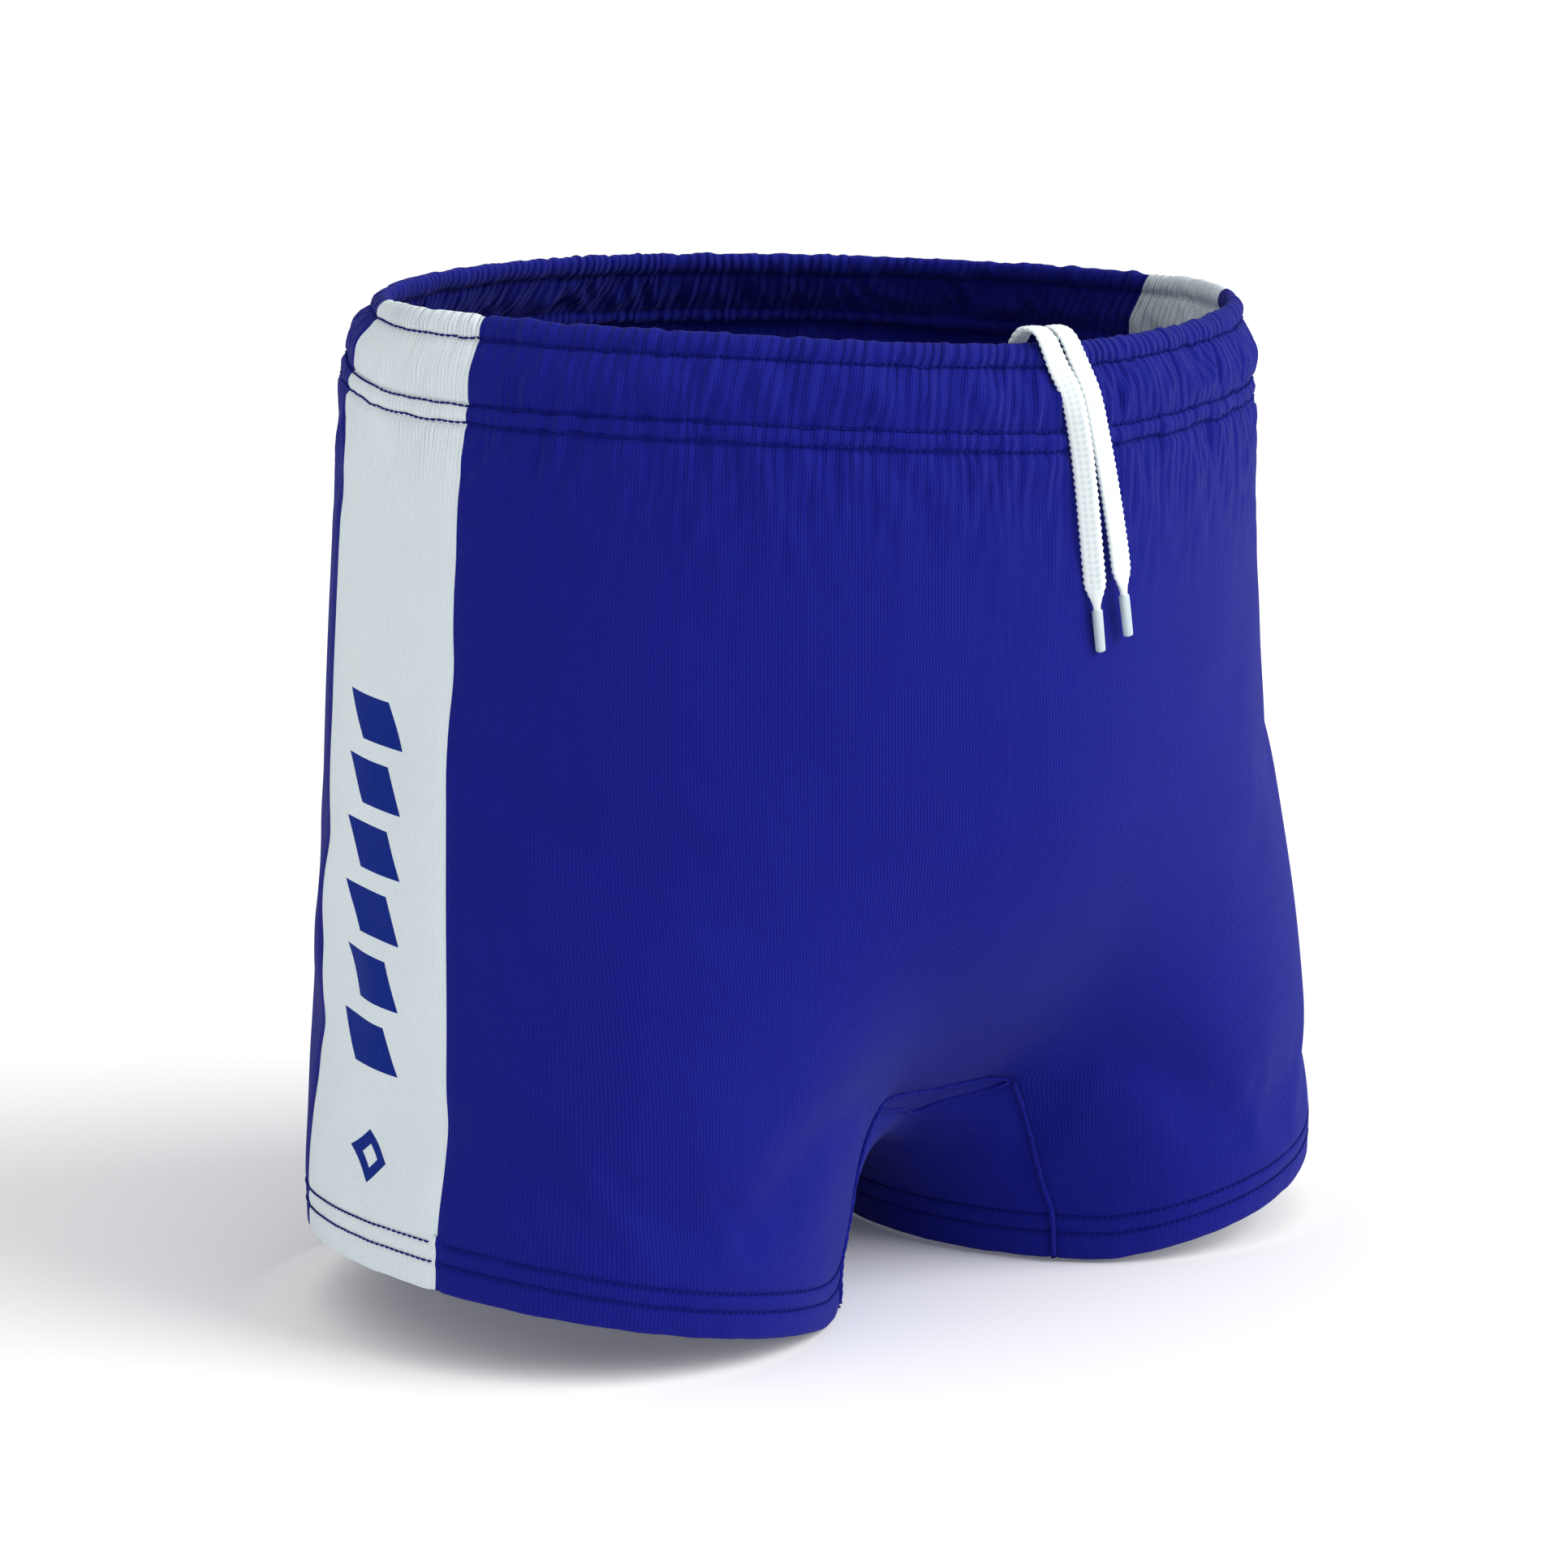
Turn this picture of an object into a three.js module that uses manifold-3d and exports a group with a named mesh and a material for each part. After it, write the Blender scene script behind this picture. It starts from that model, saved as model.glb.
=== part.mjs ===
// Knitted boxing shorts standing open: a front and a back panel, a panel on each side, a crotch
// gusset, an elastic waist with a drawcord, and turned-up hems. Millimetres, +Z up.
// The front faces -Y, and the wearer's right is -X. The hems stand on z = 0.
import * as THREE from "three";
import { mergeVertices } from "three/addons/utils/BufferGeometryUtils.js";
import Module from "manifold-3d";

const wasm = await Module();
wasm.setup();

// ---- driving dimensions ----
const RIM_Z = 325; // waist edge above the floor, at the sides of the rim
const RIM_HALF_WIDTH = 164;
const RIM_HALF_DEPTH = 115;
const RIM_TILT = 9; // the back of the rim is this much above the middle, the front as much below
const BODY_MIDDLE = 6.8; // the seat stands out further than the front, so the body's middle is this far back
const LEG_INNER_X = 21; // inner edge of a hem from the middle of the shorts
const LEG_HALF_WIDTH = 84;
const LEG_HALF_DEPTH = 96;
const HEM_RISE = 0.2; // rise of the hem per mm towards the outer side
const HEM_FLAT = 39; // the hem is level for this far out from its innermost point

const FABRIC = 1.6; // thickness of a panel
const GAP = 0.3; // clearance between neighbouring pieces
const STEPS_PER_SPAN = 12; // divisions of a column's curve between two of its points
const BAND_HEIGHT = 36; // depth of the turned-over waist casing
const HEM_DEPTH = 18; // depth of the turned-up hem
const ROW_1 = 8.7; // upper stitch row below the waist edge
const ROW_2 = 28.5;
const ROW_3 = 34.5;
const HEM_ROW_UPPER = 15.5; // stitch rows above the hem edge
const HEM_ROW_LOWER = 9.5;
const THREAD = 0.8; // thickness of a stitched row
const ELASTIC = 1.0;
const CORD_WIDTH = 7;
const CORD_THICKNESS = 1.6;
const SLOT_COLUMN = 0.025; // the two eyelets are this far either side of the front centre
const SLOT_DOWN = 18; // below the waist edge, in the inner layer of the casing
const SLOT_WIDTH = CORD_WIDTH + 2.4;
const SLOT_HEIGHT = CORD_THICKNESS + 2.4;
const EYELET_THICKNESS = 0.8;
const EYELET_REACH = 2; // outer edge of an eyelet beyond its slot
const AGLET_LENGTH = 13.5;
const AGLET_DIAMETER = 3.4;
const SEAM_RADIUS = 1.1;
const GUSSET_SEAM_RADIUS = 0.7;

// Depth of the casing's inner layer behind the outer face: elastic, cord and clearances.
const CASING = FABRIC + GAP + ELASTIC + GAP + CORD_THICKNESS + GAP;
const HEM_FOLD = FABRIC + GAP;

// ---- the shape of the shorts ----
// A column runs from the waist edge down to the hem. Columns are numbered along one half of
// the shorts: 0 at the front centre, BACK at the back centre, then on along the crotch and the
// inner thigh to 1 at the inseam, where the loop of the leg closes on INSEAM.
const INSEAM = 0.06;
const SIDE_FRONT = 0.36;
const SIDE_BACK = 0.5;
const BACK = 0.8;
const GUSSET = 0.96;
const COLUMNS = [0, INSEAM, 0.13, 0.22, SIDE_FRONT, 0.44, SIDE_BACK, 0.6, 0.7, BACK, 0.86, 0.92, GUSSET, 1];
// Bearing round the body, 0 at the front and 180 at the back.
const BEARING = [0, 12, 27, 45, 71, 90, 102, 130, 155, 180];
// Bearing round the leg at the hem.
const HEM_BEARING = [-60, -45, -20, 12, 66, 92, 118, 147, 178, 215, 245, 270, 292, 315];
// Where each column passes the level of the crotch.
const CROTCH_X = [0, 28, 70, 122, 178, 188.5, 184, 146, 88, 0, 0, 0, 0, 28];
const CROTCH_Y = [-62, -60, -100, -104, -38, 0, 35, 94, 126, 108, 50, 0, -47, -60];
const CROTCH_Z = [64, 65, 75, 86, 96, 99, 99, 92, 88, 104, 70, 59, 57, 65];
// How fast a column reaches the hem's outline below the crotch.
const FLARE = [2.2, 2.2, 1.3, 1, 1, 1, 1, 1, 1, 1.6, 2.6, 3, 3, 2.2];
// Sections of the body: height as a share of RIM_Z, half width, half depth, middle, squareness.
const SECTIONS = [
  [0.925, 168, 127, 9, 1.08],
  [0.668, 177, 131, 12, 1.08],
  [0.43, 184, 136, 6, 1.08],
];

const rad = (degrees) => (degrees * Math.PI) / 180;
const power = (value, n) => Math.sign(value) * Math.abs(value) ** n;

// Smooth curve through values at knots that never overshoots them.
function follow(knots, values, at) {
  let i = 0;
  while (i < values.length - 2 && at > knots[i + 1]) i += 1;
  const step = (k) => (values[k + 1] - values[k]) / (knots[k + 1] - knots[k]);
  const slope = (k) => {
    if (k === 0) return step(0);
    if (k === values.length - 1) return step(k - 1);
    const product = step(k - 1) * step(k);
    return product <= 0 ? 0 : (2 * product) / (step(k - 1) + step(k));
  };
  const width = knots[i + 1] - knots[i];
  const t = (at - knots[i]) / width;
  const start = values[i] * (1 + 2 * t) * (1 - t) ** 2 + slope(i) * width * t * (1 - t) ** 2;
  return start + values[i + 1] * t * t * (3 - 2 * t) - slope(i + 1) * width * t * t * (1 - t);
}

function bodyPoint(bearing, z, halfWidth, halfDepth, middle, squareness) {
  const x = halfWidth * power(Math.sin(rad(bearing)), squareness);
  return new THREE.Vector3(x, middle - halfDepth * power(Math.cos(rad(bearing)), squareness), z);
}

function hemPoint(bearing) {
  const out = LEG_HALF_WIDTH * (1 + Math.sin(rad(bearing)));
  const rise = HEM_RISE * Math.max(0, out - HEM_FLAT);
  const x = LEG_INNER_X + out;
  return new THREE.Vector3(x, -LEG_HALF_DEPTH * Math.cos(rad(bearing)), rise);
}

// One column as a curve, with the distance down it at which it passes the crotch level.
const columnStore = new Map();
function column(at) {
  const key = at.toFixed(6);
  if (columnStore.has(key)) return columnStore.get(key);
  const crotch = new THREE.Vector3(...[CROTCH_X, CROTCH_Y, CROTCH_Z].map((v) => follow(COLUMNS, v, at)));
  const points = [];
  if (at <= BACK) {
    const bearing = follow(COLUMNS, BEARING, at);
    const rise = -RIM_TILT * Math.cos(rad(bearing));
    points.push(bodyPoint(bearing, RIM_Z + rise, RIM_HALF_WIDTH, RIM_HALF_DEPTH, 0, 1.19));
    for (const [share, ...sizes] of SECTIONS) {
      const lift = share > 0.9 ? rise : 0;
      points.push(bodyPoint(bearing, RIM_Z * share + lift, ...sizes));
    }
  }
  points.push(crotch);
  const above = points.length - 1;
  if (at >= INSEAM) {
    const hem = hemPoint(follow(COLUMNS, HEM_BEARING, at));
    const flare = follow(COLUMNS, FLARE, at);
    for (const share of [0.25, 0.5, 0.75, 1]) {
      const point = crotch.clone().lerp(hem, 1 - (1 - share) ** flare);
      point.z = THREE.MathUtils.lerp(crotch.z, hem.z, share);
      points.push(point);
    }
  }
  const curve = new THREE.CatmullRomCurve3(points, false, "centripetal");
  const divisions = (points.length - 1) * STEPS_PER_SPAN;
  curve.arcLengthDivisions = divisions;
  const lengths = curve.getLengths(divisions);
  const result = { curve, length: lengths[divisions], crotch: lengths[above * STEPS_PER_SPAN] };
  columnStore.set(key, result);
  return result;
}

// The point at a distance down a column; a negative column is on the other half.
function surface(at, down) {
  const { curve, length } = column(Math.abs(at));
  const inside = THREE.MathUtils.clamp(down, 0, length);
  const point = curve.getPointAt(inside / length);
  if (down !== inside) point.addScaledVector(curve.getTangentAt(inside / length), down - inside);
  if (at < 0) point.x *= -1;
  return point;
}

// The same place, as near as can be, on the neighbouring column.
function neighbour(at, down, step) {
  const here = column(Math.abs(at));
  const above = down < here.crotch;
  let to = at + step;
  if (above && Math.abs(to) > BACK) return surface(at, down);
  if (!above && Math.abs(to) > 1) to = Math.sign(to) * (INSEAM + Math.abs(to) - 1);
  else if (!above && Math.abs(to) < INSEAM) to = Math.sign(to) * (1 - INSEAM + Math.abs(to));
  const there = column(Math.abs(to));
  if (above) return surface(to, (down * there.crotch) / here.crotch);
  const share = (down - here.crotch) / (here.length - here.crotch);
  return surface(to, there.crotch + share * (there.length - there.crotch));
}

function outward(at, down) {
  const { length } = column(Math.abs(at));
  const inside = THREE.MathUtils.clamp(down, 1, length - 1);
  const along = surface(at, inside + 1).sub(surface(at, inside - 1));
  const across = neighbour(at, inside, 0.003).sub(neighbour(at, inside, -0.003));
  const normal = along.cross(across).normalize();
  if (Math.abs(surface(at, down).x) < 0.01) normal.setX(0).normalize();
  return normal;
}

// A place on the shorts: how far down a column, and how far out from the outer face.
function place(at, down, out) {
  return surface(at, down).addScaledVector(outward(at, down), out);
}

// ---- solids ----
function toGeometry(positions) {
  const geometry = new THREE.BufferGeometry();
  geometry.setAttribute("position", new THREE.Float32BufferAttribute(positions, 3));
  return geometry;
}

function toSolid(geometry) {
  const bare = geometry.clone();
  for (const name of Object.keys(bare.attributes)) if (name !== "position") bare.deleteAttribute(name);
  const merged = mergeVertices(bare, 1e-3);
  const vertProperties = new Float32Array(merged.attributes.position.array);
  const triVerts = new Uint32Array(merged.index.array);
  return new wasm.Manifold(new wasm.Mesh({ numProp: 3, vertProperties, triVerts }));
}

function fromSolid(solid) {
  const mesh = solid.getMesh();
  const geometry = toGeometry(mesh.vertProperties);
  geometry.setIndex([...mesh.triVerts]);
  return geometry.toNonIndexed();
}

// A closed sheet of fabric from four-cornered patches; each corner has an outer and an inner point.
class Sheet {
  constructor() {
    this.patches = [];
  }

  add(corners) {
    this.patches.push(corners);
  }

  // stations[row](at) gives a corner; rows run down the columns.
  addGrid(columns, stations) {
    const corners = columns.map((at) => stations.map((station) => station(at)));
    for (let i = 0; i + 1 < columns.length; i += 1) {
      for (let j = 0; j + 1 < stations.length; j += 1) {
        this.add([corners[i][j], corners[i][j + 1], corners[i + 1][j + 1], corners[i + 1][j]]);
      }
    }
  }

  geometry() {
    const positions = [];
    const quad = (a, b, c, d) => {
      for (const p of [a, b, c, a, c, d]) positions.push(p.x, p.y, p.z);
    };
    const key = (corner) => corner.outer.toArray().map((v) => Math.round(v * 50)).join();
    const edges = new Map();
    for (const corners of this.patches) {
      quad(...corners.map((corner) => corner.outer));
      quad(...[...corners].reverse().map((corner) => corner.inner));
      corners.forEach((corner, i) => {
        const next = corners[(i + 1) % 4];
        const back = `${key(next)}|${key(corner)}`;
        if (edges.has(back)) edges.delete(back);
        else edges.set(`${key(corner)}|${key(next)}`, [corner, next]);
      });
    }
    for (const [a, b] of edges.values()) quad(a.outer, a.inner, b.inner, b.outer);
    return toGeometry(positions);
  }
}

function span(from, to, pieces) {
  return Array.from({ length: pieces + 1 }, (_, i) => from + ((to - from) * i) / pieces);
}

// ---- the rows of a panel ----
const EDGE = GAP / 1000; // half a gap, as a share of a column number
const INSEAM_EDGE = 3 * EDGE; // the rolled inseam needs a wider one
const FOLD = (CASING + FABRIC) / 2;
const corner = (at, down, outerDepth, innerDown, innerDepth) => ({
  outer: place(at, down, -outerDepth),
  inner: place(at, innerDown, -innerDepth),
});
const plain = (at, down) => corner(at, down, 0, down, FABRIC);

// Up the inner layer of the casing, over the waist edge and down the outside.
const bandLevels = [ROW_1, SLOT_DOWN, ROW_2, BAND_HEIGHT];
const casingRows = [
  ...[...bandLevels].reverse().map((down) => (at) => corner(at, down, CASING + FABRIC, down, CASING)),
  ...[180, 120, 60, 0].map((turn) => (at) => {
    const [up, back] = [Math.sin(rad(turn)), 1 - Math.cos(rad(turn))];
    const small = FOLD - FABRIC;
    return corner(at, FOLD * (1 - up), FOLD * back, FOLD - small * up, FABRIC + small * back);
  }),
  ...bandLevels.map((down) => (at) => plain(at, down)),
];
const bodyLevels = [0.16, 0.34, 0.52, 0.7, 0.85, 1].map((share) => (at) => {
  const { crotch } = column(Math.abs(at));
  return BAND_HEIGHT + (crotch - BAND_HEIGHT) * share;
});
const legLevels = [0, 0.2, 0.45, 0.72, 1].map((share) => (at) => {
  const { crotch, length } = column(Math.abs(at));
  return crotch + (length - HEM_DEPTH - crotch) * share;
});
const asRows = (levels) => levels.map((level) => (at) => plain(at, level(at)));

// A corner at the bottom of the hem, flat on the hem's plane.
function hemCorner(at, up, depth, innerUp, innerDepth) {
  const { length } = column(Math.abs(at));
  const result = corner(at, length - up, depth, length - innerUp, innerDepth);
  const level = (x) => HEM_RISE * Math.max(0, Math.abs(x) - LEG_INNER_X - HEM_FLAT);
  if (up === 0) result.outer.z = level(result.outer.x);
  return result;
}
const HEM_CORNER = 0.6; // the hem's folded edge is rounded by this much
const hemRows = [
  (at) => hemCorner(at, HEM_ROW_UPPER, 0, HEM_ROW_UPPER, FABRIC),
  (at) => hemCorner(at, HEM_ROW_LOWER, 0, HEM_ROW_LOWER, FABRIC),
  (at) => hemCorner(at, HEM_CORNER, 0, FABRIC + HEM_CORNER, FABRIC),
  (at) => hemCorner(at, 0, HEM_CORNER, FABRIC, FABRIC + 0.05),
  (at) => hemCorner(at, 0, HEM_FOLD + FABRIC - HEM_CORNER, FABRIC, HEM_FOLD - 0.05),
  (at) => hemCorner(at, HEM_CORNER, HEM_FOLD + FABRIC, FABRIC + HEM_CORNER, HEM_FOLD),
  (at) => hemCorner(at, HEM_DEPTH, HEM_FOLD + FABRIC, HEM_DEPTH, HEM_FOLD),
];
const upperRows = [...casingRows, ...asRows(bodyLevels)];
const lowerRows = [...asRows(legLevels), ...hemRows];
const mirrored = (columns) => columns.map((at) => -at).reverse();

// The columns that each panel's edges and facets stand on. What follows the panels uses them too.
const frontColumns = [INSEAM + INSEAM_EDGE, ...span(0.09, SIDE_FRONT - EDGE, 9)];
const centreColumns = [INSEAM / 2, ...frontColumns];
const sideColumns = span(SIDE_FRONT + EDGE, SIDE_BACK - EDGE, 5);
const backColumns = span(SIDE_BACK + EDGE, BACK, 11);
const thighColumns = [0.82, 0.84, 0.86, 0.89, 0.92, 0.94, GUSSET, 0.98, 1 - INSEAM_EDGE];

// ---- the pieces ----
const colours = {
  blue: new THREE.MeshStandardMaterial({ color: 0x252b8c, roughness: 0.9 }),
  white: new THREE.MeshStandardMaterial({ color: 0xd9e4ec, roughness: 0.9 }),
  navy: new THREE.MeshStandardMaterial({ color: 0x14185a, roughness: 0.8 }),
  cord: new THREE.MeshStandardMaterial({ color: 0xe4f0f0, roughness: 0.85 }),
  clear: new THREE.MeshStandardMaterial({ color: 0xc6dbe0, roughness: 0.2 }),
  elastic: new THREE.MeshStandardMaterial({ color: 0xe8e8e4, roughness: 0.8 }),
};
const shorts = new THREE.Group();
shorts.position.y = -BODY_MIDDLE;
function addPiece(name, geometry, material) {
  const mesh = new THREE.Mesh(geometry, colours[material]);
  mesh.name = name;
  shorts.add(mesh);
  return mesh;
}

// A row of matching rings joined into a closed body, as a loop or with flat ends.
function sweep(rings, closed) {
  const positions = [];
  const triangle = (a, b, c) => positions.push(a.x, a.y, a.z, b.x, b.y, b.z, c.x, c.y, c.z);
  const count = rings[0].length;
  for (let i = 0; i < rings.length - (closed ? 0 : 1); i += 1) {
    const [ring, next] = [rings[i], rings[(i + 1) % rings.length]];
    for (let j = 0; j < count; j += 1) {
      const k = (j + 1) % count;
      triangle(ring[j], ring[k], next[k]);
      triangle(ring[j], next[k], next[j]);
    }
  }
  if (!closed) {
    const last = rings[rings.length - 1];
    for (let j = 1; j + 1 < count; j += 1) {
      triangle(rings[0][0], rings[0][j + 1], rings[0][j]);
      triangle(last[0], last[j], last[j + 1]);
    }
  }
  return toGeometry(positions);
}

// The section of a strip that follows the shorts at some distances down, between two depths.
const strip = (at, downs, near, far) => [
  ...downs.map((down) => place(at, down, -near)),
  ...[...downs].reverse().map((down) => place(at, down, -far)),
];

function frontPanel() {
  const sheet = new Sheet();
  sheet.addGrid([...mirrored(centreColumns), 0, ...centreColumns], upperRows);
  sheet.addGrid(frontColumns, lowerRows);
  sheet.addGrid(mirrored(frontColumns), lowerRows);
  let solid = toSolid(sheet.geometry());
  for (const at of [-SLOT_COLUMN, SLOT_COLUMN]) {
    const cutter = new THREE.BoxGeometry(SLOT_WIDTH, 2 * FABRIC, SLOT_HEIGHT);
    cutter.translate(...place(at, SLOT_DOWN, -CASING - FABRIC / 2));
    solid = solid.subtract(toSolid(cutter));
  }
  return fromSolid(solid);
}

function backPanel() {
  const sheet = new Sheet();
  const lower = [...backColumns, ...thighColumns];
  sheet.addGrid(backColumns, upperRows);
  sheet.addGrid(mirrored(backColumns), upperRows);
  sheet.addGrid(lower, lowerRows);
  sheet.addGrid(mirrored(lower), lowerRows);
  return sheet.geometry();
}

function sidePanel(sign) {
  const sheet = new Sheet();
  const columns = sign > 0 ? sideColumns : mirrored(sideColumns);
  sheet.addGrid(columns, [...upperRows, ...lowerRows.slice(1)]);
  return sheet.geometry();
}

// The lens of fabric between the front panel's crotch edge and the back panel's. Each place
// along it, from -1 to 1, has a front and a back edge.
function gussetEdges(share) {
  const sign = share < 0 ? -1 : 1;
  const front = surface(INSEAM * share, column(INSEAM * Math.abs(share)).crotch);
  const back = surface(sign * (GUSSET + (1 - GUSSET) * Math.abs(share)), 0);
  const inset = back.clone().sub(front).setLength(FABRIC);
  return [front.add(inset), back.sub(inset)];
}

function gusset() {
  const sheet = new Sheet();
  const edges = span(-0.85, 0.85, 10).map(gussetEdges);
  const thick = (p) => ({ outer: p, inner: p.clone().setZ(p.z + FABRIC) });
  for (let i = 0; i + 1 < edges.length; i += 1) {
    const [[a, b], [d, c]] = [edges[i], edges[i + 1]];
    sheet.add([a, b, c, d].map(thick));
  }
  return sheet.geometry();
}

// All the way round, from the front centre by the left side and the back to the front again.
const halfBelt = [0, ...centreColumns, ...sideColumns, ...backColumns];
const belt = [...halfBelt, ...mirrored(halfBelt).slice(1, -1)];

function waistElastic() {
  const near = FABRIC + GAP;
  const rings = belt.map((at) => strip(at, [ROW_1 + 1, SLOT_DOWN, ROW_2 - 1], near, near + ELASTIC));
  return sweep(rings, true);
}

const TUNNEL_CORD = 0.035; // the column at which the cord turns from the tunnel to its eyelet
function tunnelCord() {
  const near = FABRIC + GAP + ELASTIC + GAP;
  const levels = [SLOT_DOWN - CORD_WIDTH / 2, SLOT_DOWN, SLOT_DOWN + CORD_WIDTH / 2];
  const ring = (at) => strip(at, levels, near, near + CORD_THICKNESS);
  const half = [TUNNEL_CORD, ...frontColumns, ...sideColumns, ...backColumns];
  return sweep([...half, ...mirrored(half).slice(1)].map(ring), false);
}

// A four-sided thread lying on the outer face.
function threadRing(at, down) {
  const [near, far] = [-GAP, -GAP - THREAD];
  return strip(at, [down - THREAD / 2, down + THREAD / 2], far, near);
}
const waistRow = (down) => sweep(belt.map((at) => threadRing(at, down)), true);
function hemRow(sign, up) {
  const columns = [...frontColumns, ...sideColumns, ...backColumns, ...thighColumns];
  const around = sign > 0 ? columns : mirrored(columns);
  return sweep(around.map((at) => threadRing(at, column(Math.abs(at)).length - up)), true);
}

// Overlocked seam allowances behind a side seam, between the casing and the turned-up hem.
const ALLOWANCE = 1;
const ALLOWANCE_HALF = 0.005; // half its width, as a share of a column number
const ALLOWANCE_DEPTH = FABRIC + 3 * GAP;
function sideSeam(at) {
  const sheet = new Sheet();
  const first = () => BAND_HEIGHT + 1;
  const last = (edge) => column(Math.abs(edge)).length - HEM_DEPTH - 1;
  const levels = [first, ...bodyLevels, ...legLevels.slice(1, -1), last];
  const rows = levels.map((level) => (edge) => {
    const down = level(edge);
    return corner(edge, down, ALLOWANCE_DEPTH, down, ALLOWANCE_DEPTH + ALLOWANCE);
  });
  sheet.addGrid([at - ALLOWANCE_HALF, at + ALLOWANCE_HALF], rows);
  return sheet.geometry();
}

// A round ridge along a curve.
function ridge(points, radius, sides) {
  const path = new THREE.CatmullRomCurve3(points, false, "centripetal");
  const section = new THREE.Shape();
  section.absarc(0, 0, radius, 0, 2 * Math.PI, false);
  const steps = (points.length - 1) * 3;
  const options = { steps, curveSegments: sides, bevelEnabled: false, extrudePath: path };
  return new THREE.ExtrudeGeometry(section, options);
}

const STITCH_CLEARANCE = GAP + THREAD + GAP;
function inseam(sign) {
  const { crotch, length } = column(INSEAM);
  const out = STITCH_CLEARANCE + SEAM_RADIUS;
  const downs = span(crotch + 4, length - SEAM_RADIUS - GAP, 6);
  return ridge(downs.map((down) => place(sign * INSEAM, down, out)), SEAM_RADIUS, 6);
}

function gussetSeam(edge, reach) {
  const points = span(-reach, reach, 6).map((share) => gussetEdges(share)[edge]);
  for (const point of points) point.z -= GUSSET_SEAM_RADIUS + 2 * GAP;
  return ridge(points, GUSSET_SEAM_RADIUS, 6);
}

// A stitched eyelet round the slot, on the inner face of the casing.
function eyelet(sign) {
  const outline = (shape, halfWidth, halfHeight) => {
    shape.absellipse(0, 0, halfWidth, halfHeight, 0, 2 * Math.PI, false);
    return shape;
  };
  const shape = outline(new THREE.Shape(), SLOT_WIDTH / 2 + EYELET_REACH, SLOT_HEIGHT / 2 + EYELET_REACH);
  shape.holes.push(outline(new THREE.Path(), SLOT_WIDTH / 2 + 0.6, SLOT_HEIGHT / 2 + 0.8));
  const options = { depth: EYELET_THICKNESS, curveSegments: 8, bevelEnabled: false };
  const geometry = new THREE.ExtrudeGeometry(shape, options);
  const at = sign * SLOT_COLUMN;
  const normal = outward(at, SLOT_DOWN);
  const level = new THREE.Vector3(0, 0, 1).cross(normal).negate().normalize();
  const turn = new THREE.Matrix4().makeBasis(level, normal.clone().cross(level), normal);
  geometry.applyMatrix4(turn);
  geometry.translate(...place(at, SLOT_DOWN, -CASING - FABRIC - 3 * GAP - EYELET_THICKNESS));
  return geometry;
}

// The drawcord comes through an eyelet, over the waist edge and hangs down the front.
// Each point: sideways, then backwards and upwards from the waist edge at the front centre.
const CORD_BEND = {
  right: [[-10.8, 2.6, -19.5], [-10.6, 5.6, -18.6], [-9.4, 8.3, -15.5], [-8.2, 8.8, -9], [-7.4, 8.3, -1.5],
    [-6.4, 5.6, 2.6], [-5.5, 2.6, 3.2], [-4.6, -0.4, 2.2], [-3.4, -2.4, -1.2], [-2.7, -2.8, -3.2]],
  left: [[10.8, 2.6, -19.5], [10.6, 5.6, -18.6], [9.2, 8.3, -15.5], [7.4, 8.8, -9], [5.6, 8.3, -1.5],
    [4.2, 5.6, 2.6], [3.4, 2.6, 3.2], [4, -0.4, 2.2], [5.4, -2.4, -1.2], [6, -2.8, -3]],
};
const CORD_HANGING = {
  right: [[-2.2, -3, -4.5], [-0.4, -3.8, -9], [3.6, -4.9, -17], [6.4, -5.8, -29],
    [9, -6.2, -45], [11.6, -6.4, -65], [14, -6.6, -84]],
  left: [[6.5, -3, -4.3], [8.8, -3.8, -9.5], [11.8, -4.9, -17], [14.6, -5.8, -29],
    [18.4, -6.2, -45], [22.6, -6.4, -65], [25, -6.6, -80]],
};
const CORD_SIDES = 5; // per half turn of the flat section
function atRim([x, back, up]) {
  const rim = surface(0, 0);
  return new THREE.Vector3(x, rim.y + back, rim.z + up);
}

// A flat cord whose width stays level, so that it lies flat on the front.
function flatCord(points) {
  const path = new THREE.CatmullRomCurve3(points.map(atRim), false, "centripetal");
  path.computeFrenetFrames = (steps) => {
    const tangents = span(0, 1, steps).map((share) => path.getTangentAt(share));
    const level = new THREE.Vector3(1, 0, 0);
    const normals = tangents.map((t) => level.clone().addScaledVector(t, -level.dot(t)).normalize());
    const binormals = tangents.map((t, i) => t.clone().cross(normals[i]));
    return { tangents, normals, binormals };
  };
  const section = new THREE.Shape();
  section.absellipse(0, 0, CORD_WIDTH / 2, CORD_THICKNESS / 2, 0, 2 * Math.PI, false);
  const options = { steps: Math.ceil(path.getLength() / 3), curveSegments: CORD_SIDES };
  return new THREE.ExtrudeGeometry(section, { ...options, bevelEnabled: false, extrudePath: path });
}

function addCord(side) {
  addPiece(`drawcord_bend_${side}`, flatCord(CORD_BEND[side]), "cord");
  addPiece(`drawcord_end_${side}`, flatCord(CORD_HANGING[side]), "cord");
  const [before, tip] = CORD_HANGING[side].slice(-2).map(atRim);
  const direction = tip.clone().sub(before).normalize();
  const aglet = new THREE.CylinderGeometry(AGLET_DIAMETER / 2, AGLET_DIAMETER / 2, AGLET_LENGTH, 16);
  const mesh = addPiece(`aglet_${side}`, aglet, "clear");
  mesh.quaternion.setFromUnitVectors(new THREE.Vector3(0, 1, 0), direction);
  mesh.position.copy(tip).addScaledVector(direction, 2 * GAP + AGLET_LENGTH / 2);
}

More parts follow.
